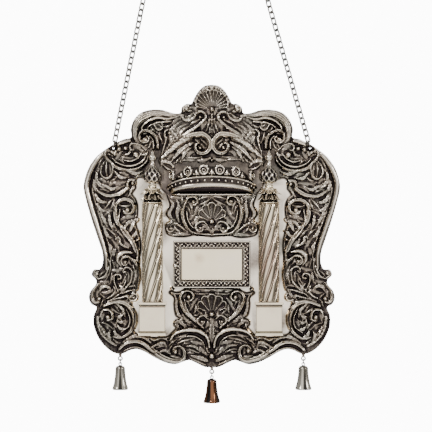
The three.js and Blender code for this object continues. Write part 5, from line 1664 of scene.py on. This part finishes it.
for label, column_x in COLUMN_PLACES.items():
    line = evenly(smooth_line([(radius, down) for down, radius in FINIAL_ROWS], 6), 0.3)
    angle = np.arange(FINIAL_SIDES) * 2 * math.pi / FINIAL_SIDES
    radii, darks = [], []
    for r, down in line:
        cut = piercing(angle, down)
        radii.append(np.full(FINIAL_SIDES, r) - 1.1 * cut)
        # The piercing is painted fully dark: tarnish in the hollows and painted shade for the openings.
        darks.append(np.clip(0.12 + 1.0 * cut, 0, 1))
    points, dark = turned_points(column_x, radii, line[:, 1], darks, FINIAL_SIDES)
    bud = Parts()
    bud.add(points, rows_faces(len(line), FINIAL_SIDES, caps=(True, True)), dark)
    bud.piece(f"pierced_finial_{label}", chased, "chased_silver", f"finial_{label}")

# %% [markdown]
# ## The pedestals
# The columns stand on plain box pedestals with a cornice and a foot moulding. Each is swept up as rounded
# rectangles, so the mouldings turn the corners cleanly.

# %% Stack the pedestals
PEDESTAL = {"half": 12.75, "depth": 12.0, "soft": 0.5}
PEDESTAL_ROWS = [
    (311.8, 1.0), (312.0, 1.45), (313.4, 1.6), (314.0, 1.2), (314.3, 0.5), (314.9, 0.45), (315.7, 0.8),
    (316.3, 0.2), (316.8, 0.0), (330, -0.12), (340.2, 0.0), (340.5, 0.5), (341.1, 0.9), (341.7, 0.35),
    (342.2, 0.7), (343.2, 1.1), (344.5, 1.1), (344.8, 0.8),
]


def soft_rectangle(centre, half, front, back, soft, per=4):
    """Points round a rectangle with soft corners at the front, as (x, y)."""
    points = []
    for cx, cy, start in ((centre + half - soft, front + soft, -90), (centre + half - 0.01, back, 0),
                          (centre - half + 0.01, back, 90), (centre - half + soft, front + soft, 180)):
        radius = soft if cy != back else 0.01
        for k in range(per + 1):
            a = math.radians(start + 90 * k / per)
            points.append((cx + radius * math.cos(a), cy + radius * math.sin(a)))
    return points


for label, column_x in COLUMN_PLACES.items():
    rows, dark = [], []
    for down, over in PEDESTAL_ROWS:
        ring = soft_rectangle(column_x, PEDESTAL["half"] + over, -(SEAT + PEDESTAL["depth"] + over), -SEAT,
                              PEDESTAL["soft"])
        rows.append([(x, y, -down) for x, y in ring])
        dark += [0.95 if 0.15 < over < 0.6 else 0.04] * len(ring)
    block = Parts()
    block.add(np.concatenate(rows), rows_faces(len(rows), len(rows[0]), caps=(True, True)), dark)
    stood = block.piece(f"box_pedestal_{label}", column_silver, "column_silver", f"pedestal_{label}")
    stood.data.polygons.foreach_set("use_smooth", [False] * len(stood.data.polygons))

# %% [markdown]
# ## The chain
# The chain is a cable chain of round wire: each link is a long oval, tilted a twelfth of a turn one way and
# the next the other way, so that they hook. It goes from one shoulder ring up to a peg, across, and down.
# The wire is a little thicker here than in the solids, so that the links show against the white.

# %% Lay out the chain's run
SHOULDER_RING = {"radius": 4.1, "wire": 0.6}
PEGS = {"left": -66.7, "right": 53.0, "corner": 7.0}
LINK = {"pitch": 6.15, "half_wide": 2.2, "wire": 0.8}
SOLID_LINK_WIRE = 0.62
LINK_GAP = 0.3


def unit(v):
    """A direction of length one."""
    return v / np.linalg.norm(v)


def ring_place(side):
    """Where a shoulder ring stands: its peg, the pull of the chain, its centre and the chain's end."""
    peg = np.array([PEGS["left"] if side < 0 else PEGS["right"], -MID_DEPTH, 0.0])
    hole = np.array([side * HOLE["out"], -MID_DEPTH, -HOLE["down"]])
    pull = unit(peg - hole)
    centre = hole + pull * SHOULDER_RING["radius"]
    reach = SHOULDER_RING["radius"] - SHOULDER_RING["wire"] - SOLID_LINK_WIRE - LINK_GAP
    chain_end = centre + pull * reach
    return peg, pull, centre, chain_end


def chain_route():
    """The chain's run as close points, rounded at the pegs."""
    left_peg, _, _, left_end = ring_place(-1)
    right_peg, _, _, right_end = ring_place(1)
    corner = PEGS["corner"]
    bends = []
    for peg, before, after in ((left_peg, left_end, right_peg), (right_peg, left_peg, right_end)):
        a = peg + unit(before - peg) * corner
        b = peg + unit(after - peg) * corner
        t = np.linspace(0, 1, 24)[:, None]
        bends.append((1 - t) ** 2 * a + 2 * t * (1 - t) * peg + t**2 * b)
    t = np.linspace(0, 1, 60)[:, None]
    first = left_end * (1 - t) + bends[0][0] * t
    middle = bends[0][-1] * (1 - t) + bends[1][0] * t
    last = bends[1][-1] * (1 - t) + right_end * t
    return np.concatenate([first, bends[0][1:], middle[1:], bends[1][1:], last[1:]])


run = chain_route()
reach = np.concatenate([[0], np.cumsum(np.linalg.norm(np.diff(run, axis=0), axis=1))])
link_count = 2 * round(reach[-1] / LINK["pitch"] / 2)
joint_places = np.linspace(0, reach[-1], link_count + 1)
joints = np.stack([np.interp(joint_places, reach, run[:, k]) for k in range(3)], 1)
print("chain", round(float(reach[-1])), "mm in", link_count, "links")

# %% Bend the links and rings
chain_parts = Parts()
for i, (a, b) in enumerate(zip(joints, joints[1:])):
    along = unit(b - a)
    half = np.linalg.norm(b - a) / 2 + LINK["wire"]
    front = np.array([0, -1.0, 0])
    sideways = unit(np.cross(along, front))
    tilt = math.pi / 6 * (1 if i % 2 else -1)
    wide = sideways * math.cos(tilt) + front * math.sin(tilt)
    straight = half - LINK["half_wide"]
    oval = []
    for k in range(18):
        turn = (k + 0.5) * 2 * math.pi / 18
        push = math.copysign(straight, math.cos(turn))
        oval.append((a + b) / 2 + along * (push + LINK["half_wide"] * math.cos(turn))
                    + wide * LINK["half_wide"] * math.sin(turn))
    sweep(oval, LINK["wire"], LINK["wire"], closed=True, sides=8, face=np.cross(along, wide),
          hollow=0.34, body=chain_parts)
chain_parts.piece("cable_chain", chain_silver, "chain_silver", "chain")


def wire_ring(name, radius, wire, centre, first, second, node_name, hollow=0.3):
    """A closed ring of round wire."""
    ring = Parts()
    sweep(ring_points(radius, 40, centre, first, second), wire, wire, closed=True, sides=12,
          face=np.cross(first, second), hollow=hollow, body=ring)
    return ring.piece(name, chain_silver, "chain_silver", node_name)


for label, side in (("left", -1), ("right", 1)):
    _, pull, centre, _ = ring_place(side)
    wire_ring(f"shoulder_ring_{label}", SHOULDER_RING["radius"], SHOULDER_RING["wire"], centre, (0, 1, 0),
              pull, f"chain_ring_{label}")

# %% [markdown]
# ## The bells
# Three small bells hang on rings under the edge. They are struck thin, with broad soft lobes that widen to
# an open mouth, and a dark streak is painted down their lobes as a reflection. The middle one has lost its
# silver and shows the copper under it.

# %% Hang the bells
BELL = {"radius": 8.5, "height": 24.0, "wall": 0.9, "loop": 1.5}
BELL_LINK = {"radius": 2.5, "wire": 0.5}
BELL_ROWS = [(0.08, 0.0), (0.3, 0.012), (0.48, 0.05), (0.56, 0.11), (0.58, 0.2), (0.62, 0.36), (0.70, 0.56),
             (0.80, 0.74), (0.92, 0.88), (0.99, 0.95), (0.94, 1.0)]
BELL_SIDES = 72
# The phase turns the lobes, and with them the painted dark reflection.
BELL_LOBES = {"left": (4, 2.9), "centre": (4, -1.2), "right": (4, 2.3)}

for label, out, edge in BELLS:
    eye = edge + EYELET["drop"]
    link_top = eye + EYELET["radius"] - EYELET["wire"] - BELL_LINK["wire"] - LINK_GAP
    link_middle = (out, -MID_DEPTH, -(link_top + BELL_LINK["radius"]))
    wire_ring(f"bell_ring_{label}", BELL_LINK["radius"], BELL_LINK["wire"], link_middle, (0, 1, 0),
              (0, 0, 1), f"bell_link_{label}", hollow=0.5)
    loop_centre = link_top + 2 * BELL_LINK["radius"] - 2 * BELL_LINK["wire"] - LINK_GAP + BELL["loop"]
    bell_top = loop_centre + BELL["loop"]
    line = evenly(smooth_line([(r * BELL["radius"], h * BELL["height"]) for r, h in BELL_ROWS], 6), 0.4)
    angle = np.arange(BELL_SIDES) * 2 * math.pi / BELL_SIDES
    lobes, phase = BELL_LOBES[label]
    rows, dark = [], []
    for inward_by, line_here in ((0.0, line), (BELL["wall"], line[::-1])):
        for r, h in line_here:
            share = h / BELL["height"]
            wavy = 1.01 + 0.045 * share * (np.cos(lobes * angle + phase) - 0.7)
            radius = np.maximum(r * wavy - inward_by, 0.05)
            lift = inward_by * (1 - share) * 1.3
            rows.append(np.stack([out + radius * np.sin(angle), -MID_DEPTH - radius * np.cos(angle),
                                  np.full(BELL_SIDES, -(bell_top + h + lift * 0.8))], 1))
            # Painted dark reflection: a dark streak down each lobe, stronger towards the mouth.
            streak = 1.1 * bell_curve(np.cos(lobes * angle + phase), -1.0, 0.3) * share**0.4
            dark.append(np.full(BELL_SIDES, 0.8) if inward_by else 0.12 + streak + 0.3 * math.exp(-h / 1.5))
    cup = Parts()
    cup.add(np.concatenate(rows), rows_faces(len(rows), BELL_SIDES, caps=(True, True)), np.concatenate(dark))
    loop = ring_points(BELL["loop"], 24, (out, -MID_DEPTH, -loop_centre), (1, 0, 0), (0, 0, 1))
    sweep(loop, BELL_LINK["wire"], BELL_LINK["wire"], closed=True, sides=10, hollow=0.4, body=cup)
    finish, slot = (worn_copper, "worn_silver") if label == "centre" else (bell_silver, "bell_silver")
    cup.piece(f"lobed_bell_{label}", finish, slot, f"bell_{label}")
